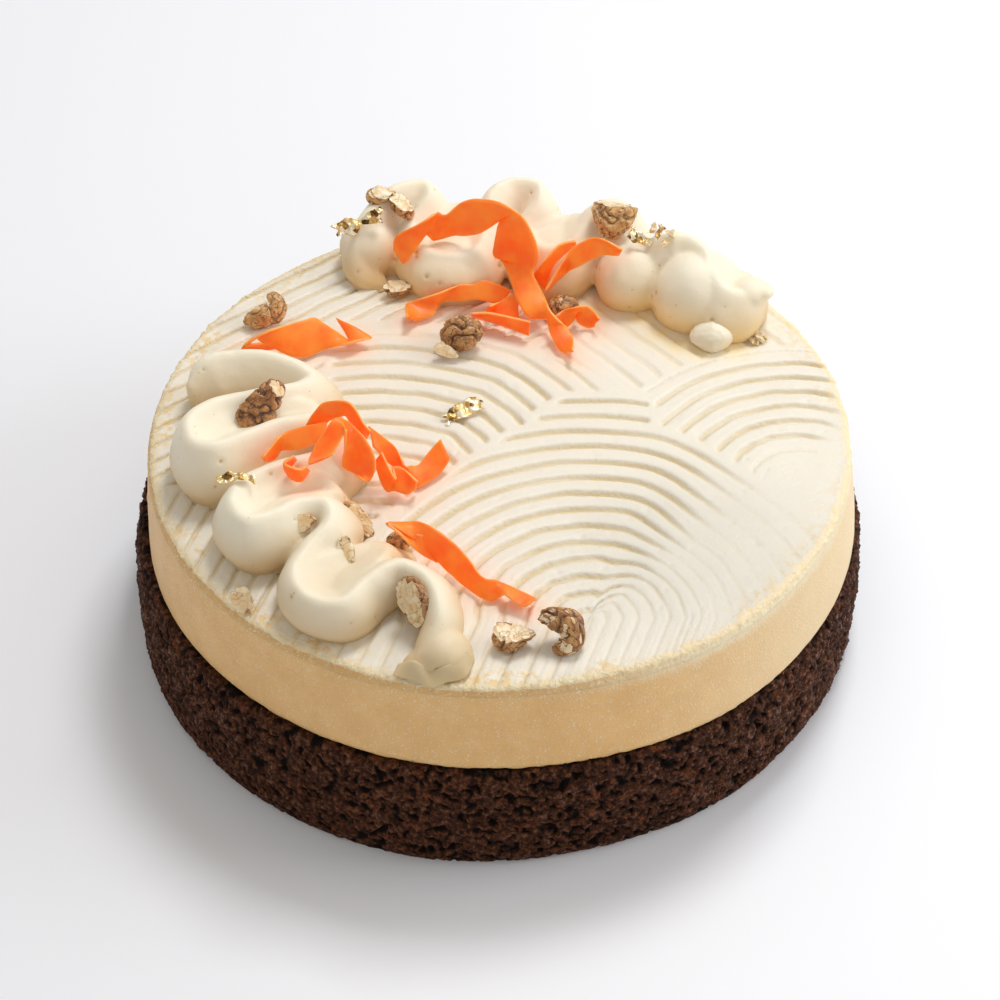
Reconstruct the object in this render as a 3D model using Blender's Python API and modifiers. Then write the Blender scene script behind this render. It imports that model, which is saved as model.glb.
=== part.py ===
"""A round carrot cake cheesecake, 200 mm across and 88 mm high.

A dark carrot sponge carries a band of baked cheesecake and a combed layer of cream. Two piped
swirls of cream stand on its edge, with peeled carrot ribbons, walnut pieces and gold leaf on them.

The origin is the centre of the cake's flat underside, +Z is up, and -Y is the front.
Lengths are in metres: MM turns the millimetres written here into metres.
"""

import math
import random

import bmesh
import bpy
import numpy as np
from mathutils import Matrix, Vector, noise

MM = 0.001
GAP = 0.3 * MM          # the space left between two pieces that touch
MERGE = 0.01 * MM       # points closer than this are one point

# Driving sizes of the layers.
SPONGE_TOP = 33.7 * MM
CHEESE_BOTTOM = SPONGE_TOP + GAP
CHEESE_TOP = 57.5 * MM
CREAM_BOTTOM = CHEESE_TOP + GAP
TOP = 60.5 * MM         # the height of the combed ridges
RIM_RADIUS = 95.1 * MM

# (radius, height) down the outer side of the two lower layers.
SPONGE_SIDE = [
    (98.6 * MM, SPONGE_TOP),
    (99.6 * MM, 32 * MM),
    (100.2 * MM, 28 * MM),
    (100.5 * MM, 23 * MM),
    (100.6 * MM, 18 * MM),
    (100.5 * MM, 13 * MM),
    (100.3 * MM, 8 * MM),
    (99.9 * MM, 3 * MM),
    (98.9 * MM, 0),
]
CHEESE_SIDE = [
    (95.6 * MM, CHEESE_TOP),
    (96.5 * MM, 50 * MM),
    (97.3 * MM, 42 * MM),
    (97.8 * MM, 35 * MM),
    (97.2 * MM, CHEESE_BOTTOM),
]

# The comb that was drawn over the top. Its teeth leave rounded grooves between flat ridges.
COMB_PITCH = 6.2 * MM
COMB_DEPTH = 1.1 * MM
GROOVE_WIDTH = 1.05 * MM

# The front swirl's crest: (x, y, height over the top) at each bend, in millimetres.
FRONT_CREST = [
    (-85, 10, 10),
    (-80, 15.5, 15),
    (-71, 17.5, 15.5),
    (-60, 16, 15.5),
    (-51, 10, 14),
    (-55, 3.8, 15),
    (-66, -0.8, 17),
    (-76, -5.5, 18),
    (-82, -13, 19),
    (-80.5, -21.5, 19),
    (-74.6, -23.4, 19),
    (-67, -18.8, 18),
    (-58, -12.6, 17),
    (-48, -11.2, 16),
    (-43.5, -17, 16),
    (-47.5, -24.2, 16),
    (-57, -28.5, 16.5),
    (-65.5, -35, 17),
    (-69.1, -42.5, 17),
    (-65.3, -49.5, 17),
    (-58.5, -47.5, 16.3),
    (-52, -42.2, 15.5),
    (-45.2, -41.8, 15),
    (-43.8, -48.5, 14),
    (-49, -56.2, 13.5),
    (-52.4, -65.5, 13),
    (-48.5, -73.8, 12.5),
    (-40, -76, 12.5),
    (-33.4, -68, 13),
    (-26.1, -63, 13),
    (-18.5, -68.7, 13),
    (-15.6, -77.7, 11.5),
    (-17.5, -84, 8.5),
    (-22.5, -90, 3.5),
]

# The back swirl's crest.
BACK_CREST = [
    (-33.4, 66, 3.5),
    (-39.5, 71.5, 13),
    (-35.7, 79.4, 18),
    (-29, 86, 20),
    (-21, 88.7, 20),
    (-19.5, 83.5, 18.7),
    (-24.5, 76, 15),
    (-22, 68, 13.2),
    (-17, 63.8, 12.8),
    (-10.5, 63, 12.8),
    (-5.2, 66, 13.3),
    (-3, 73, 15.5),
    (-1.1, 83.3, 19.5),
    (5, 88.6, 20),
    (12, 87, 20),
    (12.7, 81, 19),
    (8.2, 74, 15),
    (9.8, 68, 14.2),
    (14.5, 64.3, 14.2),
    (20.5, 65.2, 15),
    (25, 70.5, 17),
    (28.5, 76, 19.7),
    (34.5, 77.8, 20),
    (39.3, 74, 18.3),
    (35.4, 68, 16),
    (40, 63.5, 15),
    (48.7, 61.7, 20),
    (54, 60.6, 20),
    (58.6, 56, 19.3),
    (60, 49.4, 17.5),
    (63.5, 43.8, 15),
    (70.2, 43, 13),
    (75.5, 45.5, 12),
]

# Half of a piped strand's section: (distance from the crest line, height), for this height.
SECTION_HEIGHT = 17
SECTION = [
    (0.5, 17),
    (1.8, 16.2),
    (3.3, 14.3),
    (4.9, 11.8),
    (6.3, 9),
    (7.2, 6.4),
    (7.4, 4.2),
    (6.9, 2.2),
    (5.9, 0.4),
    (5, -2),
]
CREST_LEAN = 2.75 * MM      # how far a crest leans out from the cake's middle
TAPER_STEPS = 4             # how many steps of 1.5 mm a strand's end takes to reach full width

# The bowls inside the bends, in millimetres. They lie to the left of the strand's path.
BOWL_LIP = 0.25         # how far a bowl starts below its crest
BOWL_DEPTH = 4.6        # how much deeper its middle is
BOWL_REACH = 6.5        # how far from the crest it takes to get there
BOWL_OPEN = 0.3         # how little of a ring of crest may surround cream that still stands up
BOWL_CLOSED = 0.58      # how much of it surrounds cream of the full height
FRONT_BOWL_BENDS = 34   # how many points of the crest, from its start, have bowls beside them
BACK_BOWL_BENDS = 24

# Mounds of cream in the swirls' bends: (x, y, height of the middle, radius across, radius up), in mm.
FRONT_MOUNDS = [(-14.5, -85.2, 1, 7.4, 7), (-20.5, -88, 0, 5, 4)]
BACK_MOUNDS = [
    (-31, 79, 2, 10, 9),
    (-36, 76, 6, 9.5, 8),
    (-13.5, 68, 5, 13.3, 8),
    (3, 80, 2, 10, 9),
    (16.5, 69.5, 5, 12.8, 8.8),
    (38.5, 60, 5, 10.5, 10.5),
    (57, 52.5, 5, 13.5, 13),
    (66, 49.5, 3, 11, 10),
]

# The peeled carrot ribbons, as stations along each: (x, y, height over the top) of its middle in mm,
# then where its width points: the bearing and the slope in degrees, and the width in mm.
RIBBON_THICKNESS = 0.8 * MM
RIBBONS = {
    "carrot_left": [
        (-62, 34.5, 3.5, -55, 60, 5),
        (-71, 33.5, 3.5, -50, 58, 5),
        (-66, 32.5, 9, -27, 38, 5),
        (-62.5, 32.5, 9, 32, 23, 7.5),
        (-54, 35, 5.5, 64, 39, 12),
        (-48.5, 37, 4, 81, 48, 7),
        (-41.5, 36.5, 2.5, 97, -33, 5),
        (-40.5, 41.5, 3.5, 148, 11, 12),
    ],
    "carrot_front": [
        (-17.5, -50.5, 5, 110, 31, 8),
        (-21, -49.5, 6, 93, 53, 5),
        (-26, -47, 8.5, 82, -31, 5),
        (-29, -45.5, 9.5, 81, -43, 5),
        (-25, -46, 9, 69, -20, 5),
        (-19.5, -48, 7.5, 80, 55, 6.5),
        (-11, -55.5, 4.5, 78, 45, 8),
        (-4.5, -63, 3, 104, 41, 6.5),
        (-1.5, -63.5, 3, 105, 44, 5),
        (0.5, -64, 3.5, 100, -7, 5),
        (5.5, -67, 2.5, 77, -7, 5),
        (8, -67.5, 2.5, 68, -31, 5),
    ],
    "carrot_mid_wing": [
        (-62, -25.5, 14.5, -91, 53, 5),
        (-59.5, -23.5, 15, -133, 79, 5),
        (-57.5, -21, 16, -158, 86, 5),
        (-54, -21, 17, 113, 20, 6),
        (-45.5, -20, 19, 83, 22, 5.5),
    ],
    "carrot_mid_arch": [
        (-49, -15.5, 16, 179, 36, 5),
        (-47, -15.5, 20, -176, 40, 5),
        (-44, -16, 23, 134, 28, 5.5),
        (-39.5, -17, 24, -14, 79, 5),
        (-36.5, -18.5, 18.5, -24, 58, 5),
        (-34.5, -17.5, 15.5, -58, 62, 5),
    ],
    "carrot_mid_fold": [
        (-46.5, -31, 19, 27, 4, 7),
        (-46, -29, 19.5, 9, 4, 6.5),
        (-42, -23, 23, -42, -17, 5),
        (-40, -22.5, 23, -89, 9, 5),
        (-38, -24, 18, -156, -28, 6.5),
        (-37, -25, 12.5, -175, -10, 9),
        (-35.5, -26.5, 10, 175, -10, 5.5),
        (-35, -28.5, 9, -104, 41, 5),
    ],
    "carrot_mid_tail": [
        (-34, -16, 13.5, 105, 25, 6),
        (-28.5, -18.5, 9, 60, 54, 5),
        (-25, -18.5, 4, -119, 70, 5),
        (-23, -20, 2.5, 106, 26, 6.5),
        (-20, -18.5, 2.5, 130, 25, 5.5),
        (-17, -15, 3.5, 125, 28, 6.5),
        (-14.5, -12.5, 5.5, 123, 43, 6),
    ],
    "carrot_mid_loop": [
        (-32, -22, 11.5, -30, 62, 5),
        (-29, -25, 4.5, -4, 56, 5),
        (-28, -23.5, 5, 97, 45, 6.5),
        (-25, -24, 4.5, 100, 36, 7),
        (-22, -25, 4.5, -84, 58, 5),
    ],
    "carrot_mid_curl": [
        (-53, -30, 19, -90, 52, 5),
        (-55.5, -32.5, 17.5, -110, 75, 5),
        (-52, -33, 15.5, -79, 81, 5),
        (-50, -31, 16, -101, 55, 5),
    ],
    "carrot_back_right": [
        (14, 53.5, 6.5, -99, 34, 5),
        (19, 56, 12.5, -151, 81, 5),
        (22, 56.5, 15.5, 99, 30, 6),
        (29, 57, 19, 111, 44, 5.5),
        (35, 55, 18.5, -71, 53, 5),
    ],
    "carrot_back_inner": [
        (12, 56.5, 7, 137, 36, 5.5),
        (15, 58, 13, -139, 67, 5),
        (19, 60.5, 16, -135, 56, 5),
        (22.5, 62, 16.5, -94, 54, 5),
    ],
    "carrot_back_low": [
        (-24.5, 45.5, 3, -128, 47, 5),
        (-22, 50.5, 2.5, 158, 14, 8),
        (-16.5, 53, 4.5, -105, 72, 5),
        (-12, 53.5, 6, 45, 40, 5.5),
        (-8.5, 54, 5.5, 45, 30, 6),
        (-4.5, 54.5, 6, 54, 31, 6.5),
        (2.5, 54, 3.5, 46, 29, 5),
    ],
    "carrot_back_flap": [
        (-3, 49, 3.5, -57, 55, 5),
        (1, 49.5, 3, 78, 30, 5.5),
        (4.5, 49, 3.5, 89, 25, 8.5),
        (6, 48.5, 3.5, 90, 40, 6.5),
    ],
    "carrot_back_band": [
        (-7, 45.5, 4, -111, 52, 5),
        (-1.5, 44.5, 4, -112, 68, 5),
        (9, 39.5, 4, -18, 85, 5),
    ],
    "carrot_back_loop": [
        (17.5, 45, 3, -132, 52, 5),
        (19.5, 45, 3, 105, 47, 5),
        (23, 45.5, 5.5, -73, 63, 5),
        (24, 45, 4.5, 31, 52, 5.5),
        (26.5, 44, 3, 33, 53, 5),
        (28, 43, 3, -54, 59, 5),
    ],
    "carrot_back_arch": [
        (-28, 66, 9.5, 133, 36, 5),
        (-26, 66, 14, 139, 25, 7),
        (-20.5, 68, 18, 144, 87, 5),
        (-18, 69.5, 18, 59, 52, 7.5),
        (-16, 69, 17.5, 23, 64, 9),
        (-10.5, 70, 20, 38, 64, 11.5),
        (-2.5, 66, 23, 29, 56, 11),
        (3.5, 65, 24.5, -20, 40, 6),
        (4.5, 63, 23, -27, 27, 10),
        (5.5, 61, 16, -19, 13, 13.5),
        (5.5, 59.5, 13, -18, 4, 13),
        (6, 58, 11, -29, -4, 10),
        (10.5, 47, 6, 39, 15, 8),
        (13.5, 44.5, 5, -29, 53, 5),
        (15.5, 42.5, 4.5, -48, 33, 5),
        (17, 39, 3.5, 21, 16, 5),
        (19, 34, 2.5, 26, 16, 5),
        (20, 30, 3, -62, 44, 5),
    ],
}

# The walnut pieces: (x, y, height over the top) of the middle, size (long, wide, thick), turn of the
# long way in degrees, the form, the broken faces (bearing, slope, share of the radius that is left),
# and how often the ball that each is made from is divided. The form is where the bend starts (a share
# of the half length), how many degrees it goes, the taper, and how square the piece is, from 2 for a
# ball. The broad sides lie up and to the front.
WALNUTS = {
    "walnut_left_rim": ((-66, 48.6, 4.3), (14.8, 6.6, 6), 14, (0, 165, 0.1, 2), [], 3),
    "walnut_back_left": ((-33.2, 82.2, 19.4), (8.4, 5.6, 4), 8, (0, 0, 0.3, 2), [(60, 55, 0.35)], 2),
    "walnut_back_left_small": ((-27.3, 78.5, 18), (9, 6.2, 5), -55, (0, 0, 0.15, 2), [(130, 40, 0.3)], 2),
    "walnut_back_foot": ((-28.5, 60, 2.8), (8.5, 5, 4.4), 3, (0, 0, 0.2, 2), [(90, 50, 0.25)], 2),
    "walnut_middle": ((-10.1, 37, 4.6), (11.8, 10, 8.8), 12, (0, 0, 0.1, 2), [], 3),
    "walnut_middle_pale": ((-14.4, 31.6, 2.6), (7, 3.4, 2.6), -28, (0, 0, 0.4, 2.5), [(0, 90, 0.1)], 2),
    "walnut_back_middle": ((18.4, 49.9, 3), (9.5, 7.2, 6.2), 10, (0, 0, 0, 2), [], 2),
    "walnut_back_crest": ((33.4, 68.7, 19.3), (11.4, 11.4, 6), 82, (0, 0, -0.35, 2.5), [(0, 10, 0.72)], 3),
    "walnut_left_hollow": ((-63, -5.6, 15.6), (15.5, 8.6, 4.6), 55, (0, 0, 0.35, 4), [(-10, 20, 0.93)], 3),
    "walnut_left_wall": ((-52.2, -46.6, 10.8), (10.2, 4.6, 4), 15, (0, 0, 0, 2), [(0, 90, 0.3)], 2),
    "walnut_left_bowl": ((-39.4, -56.8, 8.4), (12, 4.4, 4.2), -82, (0, 0, 0, 2.5), [(190, 45, 0.15)], 2),
    "walnut_left_foot": ((-36.8, -37, 3.6), (12, 4.2, 4), -54, (0, 0, 0, 2), [(20, 60, 0.2)], 2),
    "walnut_front_foot": ((-26.1, -44.9, 2.8), (8, 5.6, 4.6), 25, (0, 0, 0, 2), [], 2),
    "walnut_front_lobe": ((-21.8, -73.4, 8.9), (12.8, 9, 6), -58, (0, 0, 0.1, 2.5), [(-115, 35, 0.15)], 3),
    "walnut_front_pale": ((2.9, -80.6, 3.2), (10.8, 7.4, 6.4), 6, (0, 0, 0.6, 2), [(80, 40, 0.3)], 3),
    "walnut_front_double": ((14.8, -80.4, 4.6), (17.2, 7.2, 6.4), -8, (-0.35, -195, 0, 2), [], 3),
    "walnut_front_rim": ((-66, -65.6, 2.6), (6.4, 5.2, 3.6), -70, (0, 0, 0, 3), [(0, 80, 0.1)], 2),
}
WALNUT_LEAN = 47
POCKETS = {
    "swirl_front": ["walnut_left_hollow", "walnut_left_wall", "walnut_left_bowl", "walnut_left_foot",
                    "walnut_front_foot", "walnut_front_lobe"],
    "swirl_back": ["walnut_back_left", "walnut_back_left_small", "walnut_back_foot",
                   "walnut_back_middle", "walnut_back_crest", "cream_blob"],
}

# The small dab of cream by the back swirl: its middle and its radii.
BLOB_PLACE = (60, 37, 2.6)
BLOB_SIZE = (6.2, 5.4, 4.4)

# Gold leaf and crumbs on the combed top: (x, y, radius, height), all raised from the cream itself.
TOP_BITS = [
    (-9.8, 7.5, 3.4, 1.4),
    (74, 36.2, 1.8, 1.2),
    (-12.1, 33.2, 1.2, 1.2),
    (-17.1, 35.6, 1.2, 1.0),
]
# Gold leaf on the swirls: (x, y, height of its middle, radius across, radius up).
FRONT_LEAF = [(-67.7, -36.2, 17, 3.4, 1.4)]
BACK_LEAF = [(-39.6, 74.5, 15, 5, 1.8), (41, 63, 17.5, 4.2, 1.6), (46, 62, 20, 2.4, 1.5)]


def clear_scene():
    """Remove whatever the scene holds."""
    for item in list(bpy.data.objects):
        bpy.data.objects.remove(item)


def new_collection(name):
    """Make a collection in the scene."""
    group = bpy.data.collections.new(name)
    bpy.context.scene.collection.children.link(group)
    return group


def new_material(name, colour, roughness):
    """Make a plain Principled material."""
    material = bpy.data.materials.new(name)
    material.use_nodes = True
    shader = material.node_tree.nodes["Principled BSDF"]
    shader.inputs["Base Color"].default_value = (*colour, 1)
    shader.inputs["Roughness"].default_value = roughness
    shader.inputs["Metallic"].default_value = 0
    material.diffuse_color = (*colour, 1)
    return material


def place(bm, name, material, group=None, smooth=True):
    """Turn a bmesh into an object of this name."""
    bmesh.ops.recalc_face_normals(bm, faces=bm.faces)
    mesh = bpy.data.meshes.new(name)
    bm.to_mesh(mesh)
    bm.free()
    if smooth:
        mesh.shade_smooth()
        mesh.set_sharp_from_angle(angle=math.radians(50))
    mesh.materials.append(material)
    item = bpy.data.objects.new(name, mesh)
    (group or CAKE).objects.link(item)
    return item


def turned(profile, steps):
    """Turn a profile of (radius, height) points once about the Z axis."""
    bm = bmesh.new()
    points = [bm.verts.new((radius, 0, height)) for radius, height in profile]
    edges = [bm.edges.new(pair) for pair in zip(points, points[1:])]
    bmesh.ops.spin(bm, geom=points + edges, cent=(0, 0, 0), axis=(0, 0, 1), angle=math.tau, steps=steps)
    bmesh.ops.remove_doubles(bm, verts=bm.verts, dist=MERGE)
    return bm


def layer(side):
    """Close a side's profile on the axis, at its top and its bottom."""
    return [(0, side[0][1])] + side + [(0, side[-1][1])]


def move_out(vert, distance):
    """Move a point away from the Z axis."""
    flat = Vector((vert.co.x, vert.co.y, 0))
    if flat.length > MERGE:
        vert.co += flat.normalized() * distance


def make_sponge():
    """The dark sponge: a turned disc with a crumbly side that bulges a little to the left."""
    swell, crumb, crumb_size = 0.7 * MM, 0.8 * MM, 4.5 * MM
    bm = turned(layer(SPONGE_SIDE), 72)
    for vert in bm.verts:
        if math.hypot(vert.co.x, vert.co.y) < MERGE:
            continue
        around = vert.co.normalized() * 2.2
        offset = swell * noise.noise(around) - swell * vert.co.x / RIM_RADIUS
        offset += crumb * noise.noise(vert.co / crumb_size)
        move_out(vert, offset)
    return place(bm, "sponge", SPONGE_BROWN)


def make_cheesecake():
    """The baked cheesecake: a smooth band that narrows towards its top."""
    waver = 0.5 * MM
    bm = turned(layer(CHEESE_SIDE), 72)
    for vert in bm.verts:
        around = Vector((vert.co.x, vert.co.y, 0)).normalized() * 1.8
        move_out(vert, waver * noise.noise(around))
    return place(bm, "cheesecake", CHEESE_BEIGE)


def soft_step(value, low, high):
    """0 below low, 1 above high, and smooth in between."""
    share = max(0, min(1, (value - low) / (high - low)))
    return share * share * (3 - 2 * share)


def comb_fans(x, y):
    """Say which fan of comb strokes a point of the top lies in. Lengths are in mm.

    Gives the fan's name, how many grooves the point is across that fan, and what is left of their depth.
    """
    run, rise = x - 22 - 0.35 * min(y + 72, 0), max(y + 72, 0)
    near = math.hypot(run, rise)
    turn = soft_step(run / (near + 0.01), 0.25, 0.75)
    lifted = 1 - turn * (0.45 + 0.4 * soft_step(near, 38, 46))
    near += 0.58 * turn * (min(near, 40) - 27.5)
    if x - y > 2 and (near < 76 or (near < 88 and 9 < x < 42)):
        return "near", (near - 9.5) / 6.25, lifted
    right, bearing = math.hypot(x - 80, y + 22), math.atan2(y + 22, x - 80)
    if right < 56 and x > 38 and y > -40:
        return "right", (right - 13) / 6, soft_step(right, 8, 24) * soft_step(bearing, 1.0, 1.4)
    left, bearing = math.hypot(x + 35, y + 40), math.atan2(y + 40, x + 35)
    if left < 88 and x > -48 and y > -36:
        return "left", (left + 16 * max(0, 1.08 - bearing) - 51.4) / 6.3, 1 - 0.6 * soft_step(left, 76, 84)
    if x > 16:
        return "back", (0.77 * x + 0.64 * y) / 7, 1
    if y < -20:
        return "edge", (0.94 * x - 0.34 * y) / 5.2, 1
    return "far", (0.6 * x - 0.8 * y) / 5.4, 1


FAN_DEPTH = {"near": 1, "right": 0.9, "left": 1, "back": 0.35, "edge": 0.7, "far": 0.8}


def comb_height(x, y):
    """The height of the combed top at a point, in metres over its ridges."""
    fan, across, lifted = comb_fans(x / MM, y / MM)
    off_groove = abs(across - round(across)) * COMB_PITCH / GROOVE_WIDTH
    return -COMB_DEPTH * FAN_DEPTH[fan] * lifted * math.exp(-off_groove ** 2)


def bit_height(x, y):
    """How far the small bits on the top stand up at a point."""
    total = 0
    for place_x, place_y, radius, height in TOP_BITS:
        off = math.hypot(x / MM - place_x, y / MM - place_y) / radius
        total += height * MM * math.exp(-off ** 4)
    return total


def rim_radius(angle):
    """The radius of the cream's ragged edge."""
    around = Vector((math.cos(angle), math.sin(angle), 0))
    return RIM_RADIUS + 0.9 * MM * noise.noise(around * 2.5) + 0.5 * MM * noise.noise(around * 11)


def disc_point(across, up):
    """Map a point of a square of side 2 onto a disc of radius 1, without a corner at its rim."""
    x = across * math.sqrt(1 - up * up / 2)
    y = up * math.sqrt(1 - across * across / 2)
    return x, y


def decimate(item, triangles):
    """Thin an object's mesh to about this many triangles."""
    item.data.calc_loop_triangles()
    modifier = item.modifiers.new("Thin", "DECIMATE")
    modifier.ratio = min(1, triangles / len(item.data.loop_triangles))
    modifier.use_collapse_triangulate = True


def make_cream_top():
    """The combed cream: a grid drawn out to a disc, with the comb's grooves pressed into it."""
    cells, rim_drop, thickness = 150, 0.8 * MM, TOP - CREAM_BOTTOM
    bm = bmesh.new()
    bmesh.ops.create_grid(bm, x_segments=cells, y_segments=cells, size=1)
    for vert in bm.verts:
        x, y = disc_point(vert.co.x, vert.co.y)
        reach = rim_radius(math.atan2(y, x))
        edge = (1 - math.hypot(x, y)) * reach
        height = TOP + comb_height(x * reach, y * reach) + bit_height(x * reach, y * reach)
        height -= rim_drop * math.exp(-edge / rim_drop)
        vert.co = (x * reach, y * reach, height)
    rim = [edge for edge in bm.edges if edge.is_boundary]
    skirt = bmesh.ops.extrude_edge_only(bm, edges=rim)["geom"]
    lower = [part for part in skirt if isinstance(part, bmesh.types.BMVert)]
    for vert in lower:
        vert.co.z = CREAM_BOTTOM
    bottom_edges = [part for part in skirt if isinstance(part, bmesh.types.BMEdge) and part.is_boundary]
    bmesh.ops.edgeloop_fill(bm, edges=bottom_edges)
    item = place(bm, "cream_top", CREAM_PALE)
    decimate(item, 2800)
    return item


def smooth(points, counts):
    """Run a smooth curve through points, with the given number of steps on each stretch."""
    ends = [2 * points[0] - points[1], 2 * points[-1] - points[-2]]
    knots = [ends[0], *points, ends[1]]
    route = []
    for count, before, start, end, after in zip(counts, knots, knots[1:], knots[2:], knots[3:]):
        for part in range(count):
            t = part / count
            bend = 2 * before - 5 * start + 4 * end - after
            twist = 3 * (start - end) + after - before
            route.append(start + t / 2 * (end - before + t * (bend + t * twist)))
    return route + [points[-1]]


def step_counts(points, step):
    """How many steps of about this length fit on each stretch between points."""
    return [max(1, round((end - start).length / step)) for start, end in zip(points, points[1:])]


def strand(bm, crest):
    """Sweep the piped section along a crest, leaning out from the cake's middle."""
    points = [Vector(point) for point in crest]
    route = smooth(points, step_counts(points, 1.5))
    rings = []
    for index, point in enumerate(route):
        along = route[min(index + 1, len(route) - 1)] - route[max(index - 1, 0)]
        side = Vector((along.y, -along.x, 0)).normalized()
        out = Vector((point.x, point.y, 0)).normalized() * CREST_LEAN / MM
        foot = Vector((point.x, point.y, 0)) - out
        to_end = min(index, len(route) - 1 - index) / TAPER_STEPS
        slimness = min(1, 0.35 + 0.65 * point.z / SECTION_HEIGHT) * min(1, 0.4 + 0.6 * to_end)
        ring = []
        for half in (1, -1):
            for width, height in (SECTION if half == 1 else reversed(SECTION)):
                share = height / SECTION_HEIGHT
                spread = width * slimness
                spot = foot + out * max(share, 0) + side * half * spread
                spot.z = share * point.z
                ring.append(bm.verts.new(spot * MM))
        rings.append(ring)
    for ring, following in zip(rings, rings[1:]):
        for index, vert in enumerate(ring):
            after = (index + 1) % len(ring)
            bm.faces.new((vert, ring[after], following[after], following[index]))
    bm.faces.new(reversed(rings[0]))
    bm.faces.new(rings[-1])


def bowl_height(x, y, line):
    """The height of the cream inside the bends at a point, or below zero where there is none.

    The line is the crest as rows of (x, y, height), and all lengths are in mm.
    """
    steps = line[:, :2] - (x, y)
    squared = (steps ** 2).sum(axis=1) + 1
    weights = 1 / squared
    pull = (steps / np.sqrt(squared)[:, None] * weights[:, None]).sum(axis=0) / weights.sum()
    around = 1 - math.hypot(*pull)
    nearest = int(squared.argmin())
    ahead = line[min(nearest + 1, len(line) - 1)] - line[max(nearest - 1, 0)]
    if ahead[1] * steps[nearest, 0] - ahead[0] * steps[nearest, 1] <= 0:
        return -1
    share = min(1, max(0, (around - BOWL_OPEN) / (BOWL_CLOSED - BOWL_OPEN)))
    drop = BOWL_LIP + BOWL_DEPTH * (1 - math.exp(-(squared[nearest] - 1) / BOWL_REACH ** 2))
    crest = (line[:, 2] * weights).sum() / weights.sum()
    return (crest - drop) * share * share * (3 - 2 * share) - 1


def bowls(bm, crest):
    """Add the cream that slopes down inside the bends, as a thick sheet."""
    cell, margin, underside = 1.2, 12, -3 * MM
    points = [Vector(point) for point in crest]
    line = np.array(smooth(points, step_counts(points, 1)))
    outward = line[:, :2] / np.linalg.norm(line[:, :2], axis=1)[:, None]
    line[:, :2] -= 0.3 * CREST_LEAN / MM * outward
    low, high = line.min(axis=0) - margin, line.max(axis=0) + margin
    columns, rows = [round((high[axis] - low[axis]) / cell) for axis in (0, 1)]
    grid = bmesh.ops.create_grid(bm, x_segments=columns, y_segments=rows, size=0.5)["verts"]
    for vert in grid:
        x, y = [low[axis] + (high[axis] - low[axis]) * (vert.co[axis] + 0.5) for axis in (0, 1)]
        vert.co = Vector((x, y, max(-1, bowl_height(x, y, line)))) * MM
    upper = list({face for vert in grid for face in vert.link_faces})
    lower = bmesh.ops.extrude_face_region(bm, geom=upper, use_keep_orig=True)["geom"]
    for vert in [part for part in lower if isinstance(part, bmesh.types.BMVert)]:
        vert.co.z = underside


def mound(bm, x, y, height, across, up):
    """Add a round mound of cream."""
    lift = Matrix.Translation(Vector((x, y, height)) * MM)
    size = Matrix.Diagonal((across * MM, across * MM, up * MM, 1))
    bmesh.ops.create_icosphere(bm, subdivisions=4, radius=1, matrix=lift @ size)


def remeshed(bm, name, voxel):
    """Melt overlapping shapes into one skin, and cut it flat just over the top."""
    rough = place(bm, name, CREAM_IVORY, group=GUIDES)
    modifier = rough.modifiers.new("Melt", "REMESH")
    modifier.mode = "VOXEL"
    modifier.voxel_size = voxel
    soften = rough.modifiers.new("Soften", "SMOOTH")
    soften.factor = 0.5
    soften.iterations = 4
    bpy.context.view_layer.update()
    melted = bmesh.new()
    melted.from_object(rough, bpy.context.evaluated_depsgraph_get())
    bpy.data.objects.remove(rough)
    everything = melted.verts[:] + melted.edges[:] + melted.faces[:]
    bmesh.ops.bisect_plane(melted, geom=everything, dist=MERGE, plane_co=(0, 0, GAP),
                           plane_no=(0, 0, -1), clear_outer=True)
    bmesh.ops.holes_fill(melted, edges=[edge for edge in melted.edges if edge.is_boundary])
    bmesh.ops.translate(melted, verts=melted.verts, vec=(0, 0, TOP))
    return melted


def make_swirl(name, crest, bowl_bends, mounds, triangles):
    """A piped swirl: one strand that winds along the edge, with bowls and mounds in its bends."""
    bm = bmesh.new()
    strand(bm, crest)
    bowls(bm, crest[:bowl_bends])
    for values in mounds:
        mound(bm, *values)
    item = place(remeshed(bm, name, 1 * MM), name, CREAM_IVORY)
    decimate(item, triangles)
    return item


def width_vector(bearing, slope, width):
    """The step from one edge of a ribbon to the other."""
    turn, rise = math.radians(bearing), math.radians(slope)
    flat = math.cos(rise) * width
    return Vector((flat * math.cos(turn), flat * math.sin(turn), math.sin(rise) * width))


def make_ribbon(name, stations):
    """A peeled ribbon: a strip of grid laid along its stations, then thickened."""
    middles = [Vector(station[:3]) for station in stations]
    widths = [width_vector(*station[3:]) for station in stations]
    counts = step_counts(middles, 3)
    route, spread = smooth(middles, counts), smooth(widths, counts)
    bm = bmesh.new()
    bmesh.ops.create_grid(bm, x_segments=len(route) - 1, y_segments=1, size=1)
    for vert in bm.verts:
        index = round((vert.co.x + 1) / 2 * (len(route) - 1))
        vert.co = (route[index] + spread[index] * vert.co.y / 2) * MM + Vector((0, 0, TOP))
    bmesh.ops.triangulate(bm, faces=bm.faces)
    item = place(bm, name, CARROT_ORANGE)
    thick = item.modifiers.new("Thickness", "SOLIDIFY")
    thick.thickness = RIBBON_THICKNESS
    thick.offset = 0
    return item


def bent(spot, length, start, degrees):
    """Bend a piece round, from a share of its half length onwards."""
    begin = start * length / 2
    if not degrees or spot.x < begin:
        return spot
    radius = (length / 2 - begin) / math.radians(degrees)
    angle = (spot.x - begin) / radius
    out = radius - spot.y
    return Vector((begin + out * math.sin(angle), radius - out * math.cos(angle), spot.z))


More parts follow.
